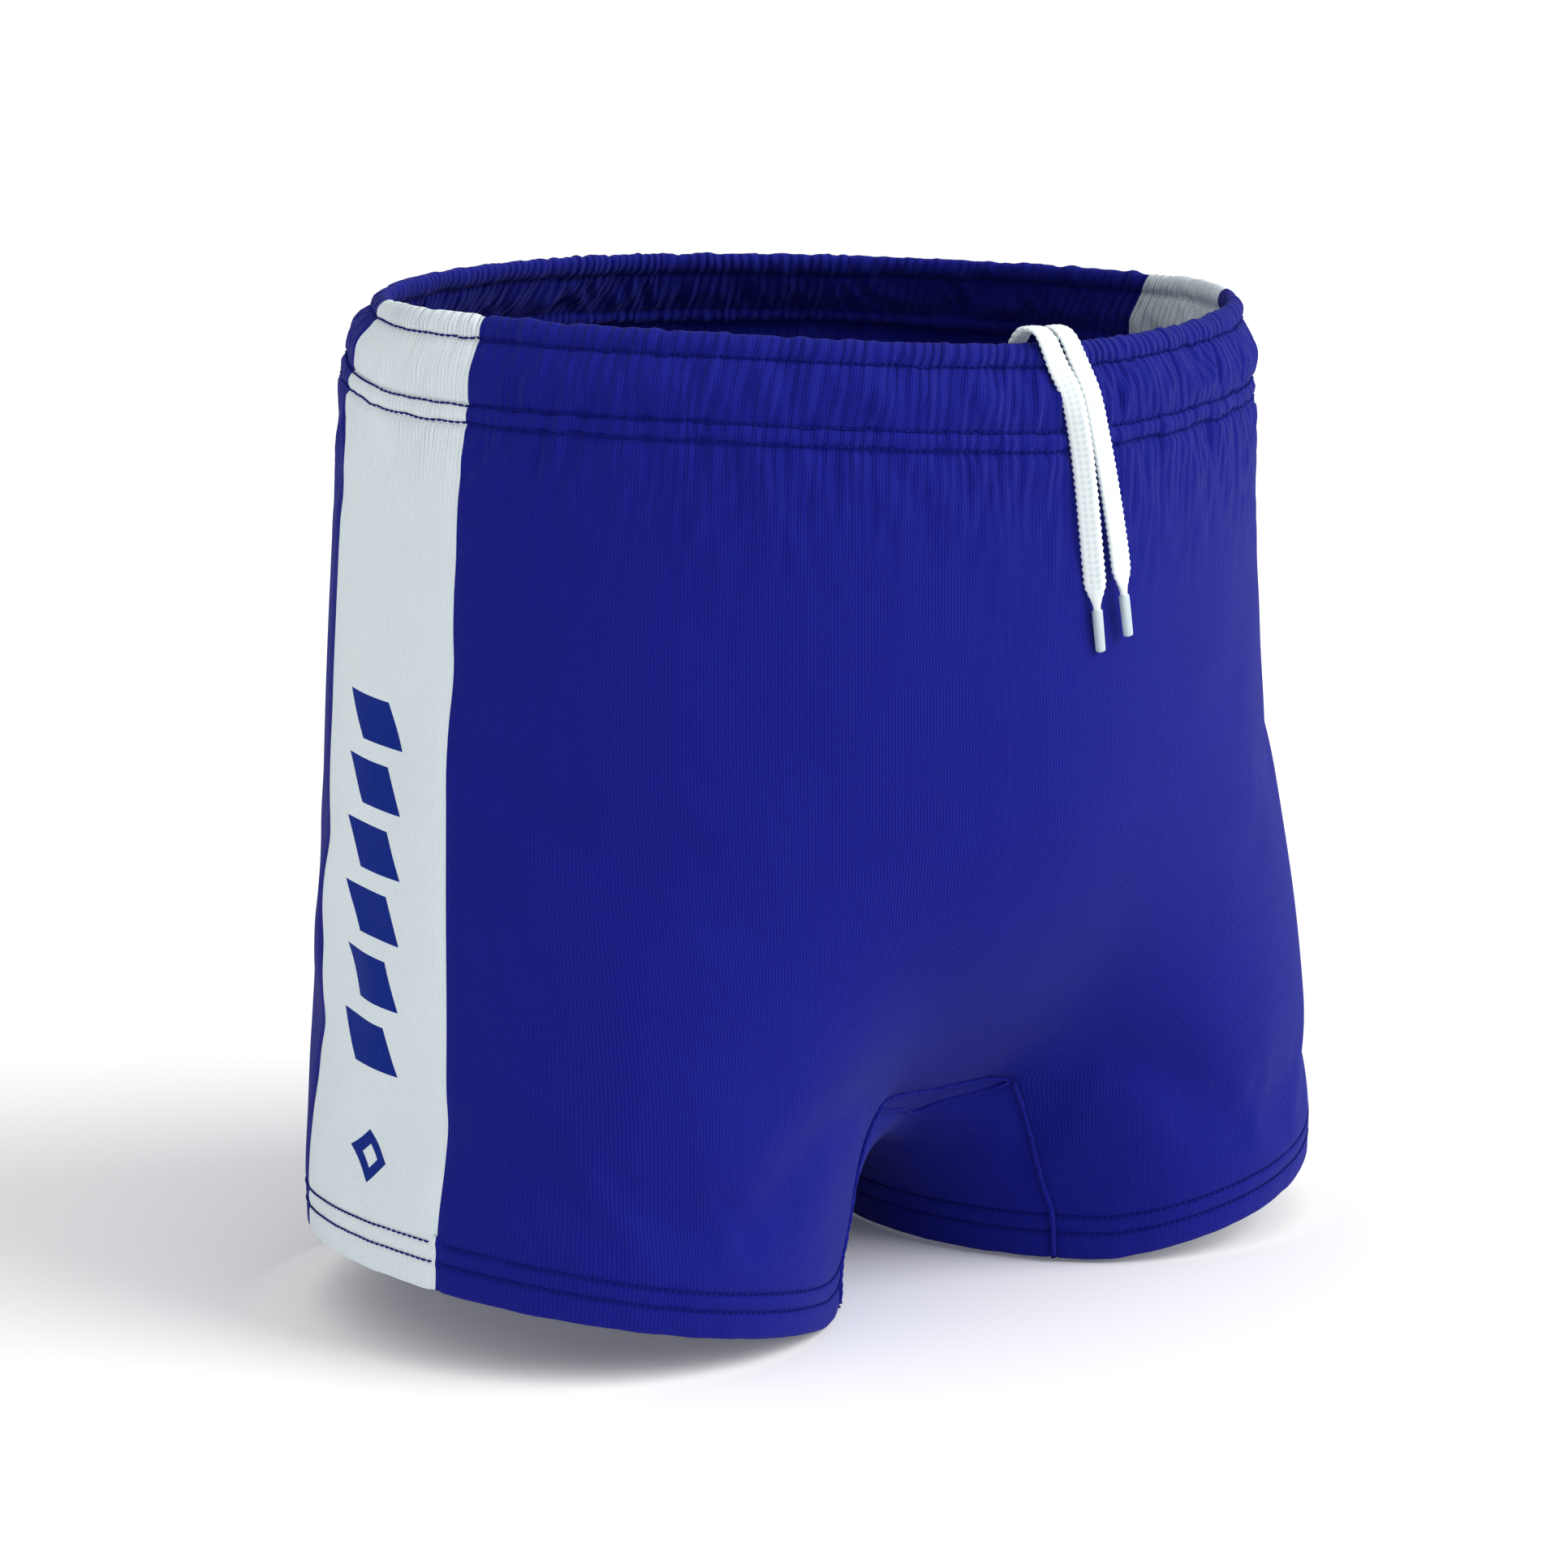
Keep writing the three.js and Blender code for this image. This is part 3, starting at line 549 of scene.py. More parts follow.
def add_print(material, across, colour):
    """Flexible screen print on the side panel: a column of slanted bars and a diamond below it."""
    tree = material.node_tree
    shader = tree.nodes["Principled BSDF"]
    uv = add_node(tree, "ShaderNodeUVMap", uv_map="cloth").outputs[0]
    split = add_node(tree, "ShaderNodeSeparateXYZ", {0: uv})
    side = maths(tree, "SUBTRACT", split.outputs[0], across)
    down = split.outputs[1]
    part = maths(tree, "MODULO", maths(tree, "SUBTRACT", down, PRINT_TOP), PRINT_PITCH)
    slant = maths(tree, "MULTIPLY", maths(tree, "SUBTRACT", part, PRINT_BAR / 2), 0.5)
    slant = maths(tree, "SUBTRACT", side, slant)
    bars = maths(tree, "MULTIPLY", between(tree, slant, -PRINT_WIDTH / 2, PRINT_WIDTH / 2),
                 maths(tree, "LESS_THAN", part, PRINT_BAR))
    bars = maths(tree, "MULTIPLY", bars, between(tree, down, PRINT_TOP, PRINT_TOP + 6 * PRINT_PITCH))
    reach = maths(tree, "ADD", maths(tree, "ABSOLUTE", side),
                  maths(tree, "ABSOLUTE", maths(tree, "SUBTRACT", down, PRINT_DIAMOND)))
    ink = maths(tree, "MAXIMUM", bars, between(tree, reach, 4.0, 9.0))
    under = shader.inputs["Base Color"].links[0].from_socket
    mix = add_node(tree, "ShaderNodeMix", {0: ink, 6: under, 7: colour}, data_type="RGBA")
    tree.links.new(mix.outputs[2], shader.inputs["Base Color"])


# ---------------------------------------------------------------- swept pieces
def sweep_mesh(path, width, thickness, wide, around=12):
    """Rings of points along a path; width, thickness and the wide direction may change along it."""
    path = np.asarray(path, float)
    tangent = np.gradient(path, axis=0)
    tangent /= np.linalg.norm(tangent, axis=1)[:, None]
    wide = np.broadcast_to(np.asarray(wide, float), path.shape)
    wide = wide - tangent * np.sum(wide * tangent, axis=1)[:, None]
    wide = wide / np.linalg.norm(wide, axis=1)[:, None]
    thin = np.cross(tangent, wide)
    turn = np.linspace(0, 2 * np.pi, around, endpoint=False)
    width = np.broadcast_to(width, len(path))[:, None, None] / 2
    thickness = np.broadcast_to(thickness, len(path))[:, None, None] / 2
    side = power(np.cos(turn), 0.8)[None, :, None] * wide[:, None, :] * width
    face = power(np.sin(turn), 0.8)[None, :, None] * thin[:, None, :] * thickness
    points = (path[:, None, :] + side + face).reshape(-1, 3)
    faces = []
    for ring in range(len(path) - 1):
        for k in range(around):
            a, b = ring * around + k, ring * around + (k + 1) % around
            faces.append([a, b, b + around, a + around])
    last = (len(path) - 1) * around
    faces += [list(range(around))[::-1], [last + k for k in range(around)]]
    return points, faces, (tangent, wide, thin)


def even(points, gap):
    """The same line with points a constant distance apart."""
    lengths = np.concatenate([[0], np.cumsum(np.linalg.norm(np.diff(points, axis=0), axis=1))])
    count = max(2, int(round(lengths[-1] / gap)) + 1)
    return down_column(points, lengths, np.linspace(0, lengths[-1], count))


def finish_piece(obj, material, slot, body, *nodes):
    if not obj.data.materials:
        obj.data.materials.append(material)
    obj.data.shade_smooth()
    if body:
        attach(obj, body)
    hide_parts(*nodes)
    return obj


# ---------------------------------------------------------------- the cloth
PRINT_TOP, PRINT_PITCH, PRINT_BAR, PRINT_WIDTH, PRINT_DIAMOND = 124, 20, 14, 20, 268
SEAM_GROOVE = 0.6
WORK = {}
AMBIENT = 0.6
RELAX_ROUNDS, SETTLE_FRAMES = 75, 16
BAND_EASE, HEM_EASE = 30, 22  # over which the hold at the casing and hems eases off
GUSSET_HOLD = 0.93
GATHER_LEVELS = [0, 9, 12, 20, 26, 30, 36, 60, 90]  # depths below the waist edge
GATHER_STRENGTHS = [0.4, 0.5, 0.8, 1.0, 0.8, 0.6, 0.8, 0.45, 0]
OVERLOCK_SHARE, OVERLOCK_ANGLE = 0.55, 1.15
EYELET_STITCHES = 48


def shifted(points):
    return np.asarray(points, float) - [0, BODY_MIDDLE, 0]


def held_weights(lattice):
    """1 where the band, hems and gusset hold the cloth, less where it may move."""
    downs, ups = np.array(lattice.downs), np.array(lattice.ups)
    held = np.full(len(downs), 0.12)
    held[downs < BAND_HEIGHT + 4] = 1
    held[ups < HEM_DEPTH + 2] = 1
    for face, panel in zip(lattice.faces, lattice.panels):
        if panel == GUSSET_PANEL:
            held[face] = 1
    return held


def still_weights(lattice, held):
    """1 in the band and the hems, easing to 0 away from them, and GUSSET_HOLD at the gusset."""
    downs, ups = np.array(lattice.downs), np.array(lattice.ups)
    near_band = np.clip(1 - (downs - BAND_HEIGHT) / BAND_EASE, 0, 1)
    near_hem = np.clip(1 - (ups - HEM_DEPTH) / HEM_EASE, 0, 1)
    still = np.maximum(near_band, near_hem)
    gusset = (held == 1) & (near_band == 0) & (near_hem == 0)
    return np.where(gusset, GUSSET_HOLD, still)


def groove(distance, depth, width):
    return depth * np.exp(-(distance / width) ** 2)


def dress(points, outward, downs, ups, seam_distance, white, sizes):
    """The band's soft swelling between its stitch rows, gathers, grooves and gentle folds, in millimetres."""
    depth = np.abs(downs)
    swell = np.zeros(len(points))
    for low, high, height in ((0, ROWS_WAIST[0], 0.5), (ROWS_WAIST[0], ROWS_WAIST[1], sizes.band_swell / MM),
                              (ROWS_WAIST[1], ROWS_WAIST[2], 0.35)):
        share = np.clip((depth - low) / (high - low), 0, 1)
        swell += height * np.sin(np.pi * share) ** 2
    for row in ROWS_WAIST:
        swell -= groove(depth - row, 1.0, 1.15)
    for row in ROWS_HEM:
        swell -= groove(np.abs(ups) - row, 0.45, 1.2)
    swell -= groove(seam_distance, SEAM_GROOVE, 1.8)
    gathers = np.interp(depth, GATHER_LEVELS, GATHER_STRENGTHS)
    gathers = gathers * sizes.gather_depth / MM * np.where(white, 0.55, 1)
    hem_ripple = np.interp(np.abs(ups), [0, 9, 20, 34], [0.25, 0.3, 0.15, 0])
    angle = np.arctan2(points[:, 0], -points[:, 1]) * 140
    slow = np.clip((depth - 45) / 60, 0, 1) * np.clip(np.abs(ups) / 30, 0, 1)
    move = np.empty(len(points))
    for k in range(len(points)):
        a, d = angle[k], depth[k]
        total = 0
        if gathers[k] > 0.01:
            wander = noise.noise(Vector((a / 19, d / 22, 3)))
            total += gathers[k] * noise.noise(Vector(((a + 5 * wander + 0.25 * d) / 4.2, d / 15, 7)))
            total += gathers[k] * 0.7 * noise.noise(Vector(((a - 0.4 * d) / 10, d / 26, 12)))
        if hem_ripple[k] > 0.01:
            total += hem_ripple[k] * noise.noise(Vector((points[k, 0] / 7, points[k, 1] / 7, 2)))
        if slow[k] > 0.01:
            spot = Vector((points[k, 0] / 75, points[k, 1] / 75, points[k, 2] / 120))
            total += slow[k] * 1.5 * noise.noise(spot)
        move[k] = total
    return points + outward * (swell + move)[:, None]


def make_cloth(sizes):
    """The whole cloth as one fine mesh: settled, folded over at its edges, subdivided and dressed."""
    lattice = Lattice()
    held = held_weights(lattice)
    points = relax(np.array(lattice.points, float), lattice.faces, still_weights(lattice, held), RELAX_ROUNDS)
    obj = new_object("cloth", shifted(points) * MM, lattice.faces)
    set_coordinates(obj.data, settle_cloth(obj, held, SETTLE_FRAMES))
    points = coordinates(obj.data) / MM
    lattice.points = list(points)
    lattice.turn_edges(normals(obj.data))
    bpy.data.objects.remove(obj)

    obj = new_object("cloth", np.array(lattice.points) * MM, lattice.faces)
    mesh = obj.data
    for name, values in (("down", lattice.downs), ("up", lattice.ups)):
        mesh.attributes.new(name, "FLOAT", "POINT").data.foreach_set("value", np.array(values, np.float32))
    for name in PANEL_NODES:
        mesh.materials.append(bpy.data.materials.new(name))
    mesh.polygons.foreach_set("material_index", lattice.panels)
    layer = mesh.uv_layers.new(name="cloth")
    corners = np.concatenate([np.ravel(uvs) for uvs in lattice.corner_uvs])
    layer.data.foreach_set("uv", corners.astype(np.float32))
    smooth = obj.modifiers.new("smooth", "SUBSURF")
    smooth.levels = smooth.render_levels = 2
    obj = baked(obj, "cloth")
    mesh = obj.data
    fine = coordinates(mesh) / MM
    values = {}
    for name in ("down", "up"):
        values[name] = np.empty(len(fine), np.float32)
        mesh.attributes[name].data.foreach_get("value", values[name])
    quads = np.empty(len(mesh.loops), np.int32)
    mesh.loops.foreach_get("vertex_index", quads)
    quads = quads.reshape(-1, 4)
    panels = np.empty(len(mesh.polygons), np.int32)
    mesh.polygons.foreach_get("material_index", panels)
    uvs = np.empty(len(mesh.loops) * 2, np.float32)
    mesh.uv_layers["cloth"].data.foreach_get("uv", uvs)
    touched = np.zeros((len(fine), len(PANEL_NODES)), bool)
    for panel in range(len(PANEL_NODES)):
        touched[quads[panels == panel].ravel(), panel] = True
    seams = np.flatnonzero(touched.sum(axis=1) > 1)
    tree = KDTree(len(seams))
    for index in seams:
        tree.insert(fine[index], int(index))
    tree.balance()
    seam_distance = np.array([tree.find(point)[2] for point in fine])
    white = touched[:, SIDE_RIGHT] | touched[:, SIDE_LEFT]
    fine = dress(fine, normals(mesh), values["down"], values["up"], seam_distance, white, sizes)
    set_coordinates(mesh, fine * MM)
    WORK.update(lattice=lattice, quads=quads, panels=panels, uvs=uvs.reshape(-1, 4, 2), fine=fine,
                normals=normals(mesh), downs=values["down"])
    outer = quads[(values["down"][quads].mean(axis=1) >= 0) & (values["up"][quads].mean(axis=1) >= 0)]
    WORK["surface"] = BVHTree.FromPolygons(fine.tolist(), outer.tolist())
    WORK["all"] = BVHTree.FromPolygons(fine.tolist(), quads.tolist())
    bpy.data.objects.remove(obj)


def panel_object(panel, material):
    """One panel as its own open sheet, cut from the whole cloth."""
    mask = WORK["panels"] == panel
    quads = WORK["quads"][mask]
    used, corners = np.unique(quads, return_inverse=True)
    obj = new_object("cloth_" + PANEL_NODES[panel], WORK["fine"][used] * MM, corners.reshape(-1, 4).tolist())
    layer = obj.data.uv_layers.new(name="cloth")
    layer.data.foreach_set("uv", WORK["uvs"][mask].ravel())
    obj.data.materials.append(material)
    return obj


def lay_line(places, lift, closed, gap):
    """Points of a line through places, laid on the cloth, with the cloth's normals."""
    line = spline(np.array([*places, places[0]] if closed else places), 12)
    line = even(line, gap)
    if closed:
        line = line[:-1]
    points, ups = [], []
    for point in line:
        place, normal, _, _ = WORK["surface"].find_nearest(Vector(point))
        points.append(np.array(place) + np.array(normal) * lift)
        ups.append(np.array(normal))
    return np.array(points), np.array(ups)


def row_places(sign_order, row, columns, downs=None):
    """The cloth's own grid points along one row, going round both halves."""
    lattice = WORK["lattice"]
    places = []
    for sign, reverse in sign_order:
        ordered = list(columns)[::-1] if reverse else list(columns)
        places += [lattice.points[lattice.grid[sign, i, row]] for i in ordered]
    kept = [places[0]]
    for place in places[1:]:
        if np.linalg.norm(place - kept[-1]) > 1:
            kept.append(place)
    if np.linalg.norm(kept[0] - kept[-1]) < 1:
        kept.pop()
    return kept


# Grid rows that the elastic and the tunnel cord span, and their faces' offsets outwards from mid-casing.
ELASTIC_ROWS, TUNNEL_ROWS = range(1, 6), range(3, 5)
ELASTIC_OFFSETS, TUNNEL_OFFSETS = (0.45, -0.15), (-0.35, -1.0)
TUNNEL_START = 2  # the column where the cord leaves the tunnel


def belt_object(name, rows, outside, inside, start):
    """A flat band in the casing, between two offsets from its middle; open at the front if start > 0."""
    lattice = WORK["lattice"]
    back = lattice.mark[4]
    ring = [(1, i) for i in range(start, back + 1)]
    ring += [(-1, i) for i in range(back - 1, max(start, 1) - 1, -1)]
    points = []
    for sign, i in ring:
        for order, offset in ((list(rows), outside), (list(rows)[::-1], inside)):
            for row in order:
                key = sign, i, row
                points.append(lattice.middle[key] + lattice.outward[lattice.grid[key]] * offset)
    around = 2 * len(rows)
    count = len(ring)
    faces = []
    for k in range(count if start == 0 else count - 1):
        for j in range(around):
            a, b = k * around, (k + 1) % count * around
            faces.append([a + j, a + (j + 1) % around, b + (j + 1) % around, b + j])
    if start:
        faces += [list(range(around))[::-1], [(count - 1) * around + j for j in range(around)]]
    return new_object(name, np.array(points) * MM, faces)


# ---------------------------------------------------------------- sewing
def capsule(name, length, width, height):
    """One stitch: a short thread lying along X, its ends dipping into the cloth."""
    t = np.linspace(-1, 1, 6)
    path = np.stack([t * length / 2, 0 * t, height * (0.75 - 1.15 * t * t)], -1)
    points, faces, _ = sweep_mesh(path, width * (1 - 0.35 * t ** 4), width * 0.8, (0, 1, 0), around=5)
    obj = new_object(name, points, faces)
    obj.hide_render = True
    return obj


def sewing_nodes():
    """Stitches spaced along a line, each lying on the cloth, turned by an angle from the line."""
    tree = bpy.data.node_groups.new("sewing", "GeometryNodeTree")
    tree.is_modifier = True
    for name, kind in (("Line", "Geometry"), ("Spacing", "Float"), ("Angle", "Float"), ("Stitch", "Object"),
                       ("Thread", "Material"), ("Seed", "Int")):
        tree.interface.new_socket(name, in_out="INPUT", socket_type="NodeSocket" + kind)
    tree.interface.new_socket("Stitches", in_out="OUTPUT", socket_type="NodeSocketGeometry")
    given = add_node(tree, "NodeGroupInput").outputs
    curve = add_node(tree, "GeometryNodeMeshToCurve", {0: given["Line"]})
    spaced = add_node(tree, "GeometryNodeResampleCurve",
                      {"Curve": curve.outputs[0], "Length": given["Spacing"]},
                      mode="LENGTH")
    up = add_node(tree, "GeometryNodeInputNamedAttribute", {"Name": "lie"}, data_type="FLOAT_VECTOR")
    along = add_node(tree, "GeometryNodeInputTangent")
    lie = add_node(tree, "FunctionNodeAxesToRotation",
                   {"Primary Axis": up.outputs[0], "Secondary Axis": along.outputs[0]},
                   primary_axis="Z", secondary_axis="X")
    wobble = add_node(tree, "FunctionNodeRandomValue", {2: -0.07, 3: 0.07, "Seed": given["Seed"]},
                      data_type="FLOAT")
    angle = maths(tree, "ADD", given["Angle"], wobble.outputs[1])
    turned = add_node(tree, "FunctionNodeEulerToRotation",
                      {0: add_node(tree, "ShaderNodeCombineXYZ", {2: angle}).outputs[0]})
    rotation = add_node(tree, "FunctionNodeRotateRotation", {0: lie.outputs[0], 1: turned.outputs[0]},
                        rotation_space="LOCAL")
    thread = add_node(tree, "GeometryNodeObjectInfo", {"Object": given["Stitch"]})
    stitches = add_node(tree, "GeometryNodeInstanceOnPoints",
                        {"Points": spaced.outputs[0], "Instance": thread.outputs["Geometry"],
                         "Rotation": rotation.outputs[0]})
    real = add_node(tree, "GeometryNodeRealizeInstances", {0: stitches.outputs[0]})
    coloured = add_node(tree, "GeometryNodeSetMaterial",
                        {"Geometry": real.outputs[0], "Material": given["Thread"]})
    add_node(tree, "NodeGroupOutput", {0: coloured.outputs[0]})
    return tree


def sew(name, points, ups, closed, spacing, angle, stitch, material, seed):
    """Stitches along points as a plain mesh."""
    edges = [(k, k + 1) for k in range(len(points) - 1)] + ([(len(points) - 1, 0)] if closed else [])
    mesh = bpy.data.meshes.new(name)
    mesh.from_pydata([tuple(p) for p in points * MM], edges, [])
    lie = mesh.attributes.new("lie", "FLOAT_VECTOR", "POINT")
    lie.data.foreach_set("vector", ups.ravel().astype(np.float32))
    obj = bpy.data.objects.new(name, mesh)
    bpy.context.scene.collection.objects.link(obj)
    modifier = obj.modifiers.new("sewing", "NODES")
    modifier.node_group = WORK["sewing"]
    items = WORK["sewing"].interface.items_tree
    sockets = {item.name: item.identifier for item in items if item.in_out == "INPUT"}
    values = {"Spacing": spacing, "Angle": angle, "Stitch": stitch, "Thread": material, "Seed": seed}
    for key, value in values.items():
        modifier[sockets[key]] = value
    return baked(obj, name)


# ---------------------------------------------------------------- the drawcord
CORD_BEND = {
    1: [(-10.8, 2.6, -19.5), (-10.6, 5.6, -18.6), (-9.4, 8.3, -15.5), (-8.2, 8.8, -9), (-7.4, 8.3, -1.5),
        (-6.4, 5.6, 2.6), (-5.5, 2.6, 3.2), (-4.6, -0.4, 2.2), (-3.4, -2.4, -1.2), (-2.7, -2.8, -3.2)],
    2: [(10.8, 2.6, -19.5), (10.6, 5.6, -18.6), (9.2, 8.3, -15.5), (7.4, 8.8, -9), (5.6, 8.3, -1.5),
        (4.2, 5.6, 2.6), (3.4, 2.6, 3.2), (4, -0.4, 2.2), (5.4, -2.4, -1.2), (6, -2.8, -3)],
}
CORD_HANGING = {
    1: [(-2.2, -3, -4.5), (-0.4, -3.8, -9), (3.6, -4.9, -17), (6.4, -5.8, -29), (9, -6.2, -45),
        (11.6, -6.4, -65), (14, -6.6, -84)],
    2: [(6.5, -3, -4.3), (8.8, -3.8, -9.5), (11.8, -4.9, -17), (14.6, -5.8, -29), (18.4, -6.2, -45),
        (22.6, -6.4, -65), (25, -6.6, -80)],
}
CORD_TURN = {1: 38, 2: 8}  # degrees that each hanging end is turned about its own line
AGLET_LENGTH = 13.5


def rim_points(points):
    """Points given sideways, backwards and upwards from the waist edge at the front centre."""
    return np.array(points, float) + [0, -RIM_HALF_DEPTH - BODY_MIDDLE, RIM_Z - RIM_TILT]


def cord_line(which):
    line = even(spline(rim_points(CORD_BEND[which] + CORD_HANGING[which]), 20), 0.45)
    front = line[:, 2] < RIM_Z - RIM_TILT - 3
    front &= line[:, 1] < -RIM_HALF_DEPTH - BODY_MIDDLE
    for k in np.flatnonzero(front):
        place = WORK["surface"].ray_cast(Vector((line[k, 0], -400, line[k, 2])), Vector((0, 1, 0)))[0]
        line[k, 1] = min(line[k, 1], place.y - 1.5)
    line[:, 1] = np.convolve(np.pad(line[:, 1], 6, "edge"), np.ones(13) / 13, "valid")
    return line


def braid(which, sizes):
    """A flat braid of three columns of stitches with scalloped edges, necking down into its aglet."""
    line = cord_line(which)
    gap = 0.45
    tip = line[-1] - line[-8]
    tip /= np.linalg.norm(tip)
    tail = line[-1] + tip * np.arange(gap, AGLET_LENGTH * 0.62, gap)[:, None]
    path = np.vstack([line, tail])
    along = np.arange(len(path)) * gap
    end = len(line) * gap
    full, thick = sizes.cord_width / MM, sizes.cord_thickness / MM
    stitch = 2.1
    neck = np.clip((along - (end - 9)) / 9, 0, 1)
    neck = neck * neck * (3 - 2 * neck)
    width = full * (1 - 0.07 * np.cos(2 * np.pi * along / stitch)) * (1 - neck) + 2.3 * neck
    thickness = thick * (1 - neck) + 2.1 * neck
    turn = np.radians(CORD_TURN[which]) * np.clip((along - 34) / 30, 0, 1)
    tangent = np.gradient(path, axis=0)
    tangent /= np.linalg.norm(tangent, axis=1)[:, None]
    wide = np.array([1.0, 0, 0]) - tangent * tangent[:, :1]
    wide /= np.linalg.norm(wide, axis=1)[:, None]
    thin = np.cross(tangent, wide)
    wide = wide * np.cos(turn)[:, None] + thin * np.sin(turn)[:, None]
    around = 28
    points, faces, (tangent, wide, thin) = sweep_mesh(path, width, thickness, wide, around)
    points = points.reshape(len(path), around, 3)
    offset = points - path[:, None, :]
    across = np.sum(offset * wide[:, None, :], axis=2) / (full / 2)
    face = np.sum(offset * thin[:, None, :], axis=2) / (thick / 2)
    column_place = (across * 1.5 + 0.5) % 1 - 0.5
    phase = along[:, None] / stitch + np.abs(column_place) * 0.9
    relief = (0.5 + 0.5 * np.cos(2 * np.pi * phase)) * (1 - (2 * column_place) ** 2)
    valley = np.exp(-((np.abs(column_place) - 0.5) / 0.09) ** 2)
    hole = valley * (0.5 + 0.5 * np.cos(2 * np.pi * (along[:, None] / stitch + 0.5))) ** 3
    lift = np.sign(face) * (0.16 * relief - 0.12 * valley) * (1 - neck)[:, None]
    points = points + thin[:, None, :] * lift[:, :, None]
    # Painted shade: the braid is shaded in the pinholes between stitches, along the grooves between its
    # columns and on the low parts of its relief, less so at the neck.
    braid_shade = np.clip(hole * 0.9 + 0.2 * valley + 0.2 * (1 - relief), 0, 1) * (1 - 0.6 * neck)[:, None]
    points = points.reshape(-1, 3)
    obj = new_object({1: "drawcord_right", 2: "drawcord_left"}[which], points * MM, faces)
    gap = obj.data.attributes.new("gap", "FLOAT", "POINT")
    gap.data.foreach_set("value", braid_shade.ravel().astype(np.float32))
    return obj, path, line[-1], tip


def aglet(name, start, direction, sizes):
    """The tipping film: a slightly flattened sleeve, open at its far end, with rolled edges."""
    t = np.array([0, 0.15, 0.6, 3, 7, 10.5, 12.6, 13.2, AGLET_LENGTH])
    radius = np.array([0.86, 0.97, 1, 1.0, 0.97, 0.95, 0.93, 0.86, 0.5])
    path = start + direction * t[:, None]
    points, faces, _ = sweep_mesh(path, sizes.aglet_diameter / MM * radius,
                                  sizes.aglet_diameter / MM * 0.86 * radius, (1, 0, 0), 24)
    return new_object(name, points * MM, faces)


# ---------------------------------------------------------------- the add-on
class ShortsSizes(bpy.types.PropertyGroup):
    stitch_length: bpy.props.FloatProperty(
        name="Stitch length", description="Distance from one stitch to the next", default=0.0023,
        unit="LENGTH")
    thread_width: bpy.props.FloatProperty(
        name="Thread", description="Width of the sewing thread", default=0.0007, unit="LENGTH")
    band_swell: bpy.props.FloatProperty(
        name="Band swell", description="How far the waistband swells between its stitch rows", default=0.0014,
        unit="LENGTH")
    gather_depth: bpy.props.FloatProperty(
        name="Gather depth", description="Depth of the gathers that the elastic draws up", default=0.0021,
        unit="LENGTH")
    cord_width: bpy.props.FloatProperty(
        name="Cord width", description="Width of the flat drawcord", default=0.007, unit="LENGTH")
    cord_thickness: bpy.props.FloatProperty(
        name="Cord thickness", description="Thickness of the flat drawcord", default=0.0018, unit="LENGTH")
    aglet_diameter: bpy.props.FloatProperty(
        name="Aglet", description="Diameter of the plastic tips of the drawcord", default=0.0034,
        unit="LENGTH")


def colour_property(name, description, default):
    return bpy.props.FloatVectorProperty(name=name, description=description, default=linear(default),
                                         subtype="COLOR", size=4, min=0, max=1)


class ShortsColours(bpy.types.PropertyGroup):
    body: colour_property("Body", "Knit of the front and back", "#151B8A")
    # Painted shade in the knit's grooves, and the dark end of its random mottle.
    body_shade_and_mottle: colour_property("Body, deep", "The same in its grooves", "#0B1068")
    side: colour_property("Side", "Knit of the side panels", "#E6EEF0")
    # Painted shade in the knit's grooves, and the dark end of its random mottle.
    side_shade_and_mottle: colour_property("Side, deep", "The same in its grooves", "#C9D6DD")
    thread: colour_property("Thread", "Sewing thread", "#0E1468")
    mark: colour_property("Print", "Ink of the side print", "#00237F")
    cord: colour_property("Cord", "Braid of the drawcord", "#EAF2F2")
    # Painted shade in the braid's gaps and grooves.
    cord_gap_shade: colour_property("Cord, gaps", "The braid's gaps", "#C4D1D5")
    tip: colour_property("Aglet", "Plastic of the tips", "#D6E4EA")
    elastic: colour_property("Elastic", "Elastic in the casing", "#EDEDE8")
    floor: colour_property("Floor", "Studio floor", "#FAFAFA")


class ShortsOperator(bpy.types.Operator):
    """What every step of the build shares."""
    bl_options = {"REGISTER", "UNDO"}

    @property
    def sizes(self):
        return bpy.context.scene.shorts_sizes

    @property
    def colours(self):
        return bpy.context.scene.shorts_colours


class SHORTS_OT_cloth(ShortsOperator):
    """Settle the cloth and cut it into its five panels"""
    bl_idname = "shorts.cloth"
    bl_label = "Cloth Panels"

    def execute(self, context):
        c = self.colours
        make_cloth(self.sizes)
        lattice = WORK["lattice"]
        blue = knit_material("blue knit", c.body, c.body_shade_and_mottle, 0.34)
        white = knit_material("white knit", c.side, c.side_shade_and_mottle, 0.18)
        printed = knit_material("white knit, printed", c.side, c.side_shade_and_mottle, 0.18)
        middle = (lattice.girths[lattice.mark[2]] + lattice.girths[lattice.mark[3]]) / 2
        add_print(printed, -middle, c.mark)
        for panel, material, slot_name, flat, area in (
                (FRONT_PANEL, blue, "blue_knit", (0.45, 0.40), 0.140),
                (BACK_PANEL, blue, "blue_knit", (0.62, 0.44), 0.185),
                (SIDE_RIGHT, printed, "white_knit", (0.075, 0.375), 0.024),
                (SIDE_LEFT, white, "white_knit", (0.075, 0.375), 0.024),
                (GUSSET_PANEL, blue, "blue_knit", (0.058, 0.016), 0.00056)):
            obj = panel_object(panel, material)
            finish_piece(obj, material, slot_name, "root", PANEL_NODES[panel])
        return {"FINISHED"}


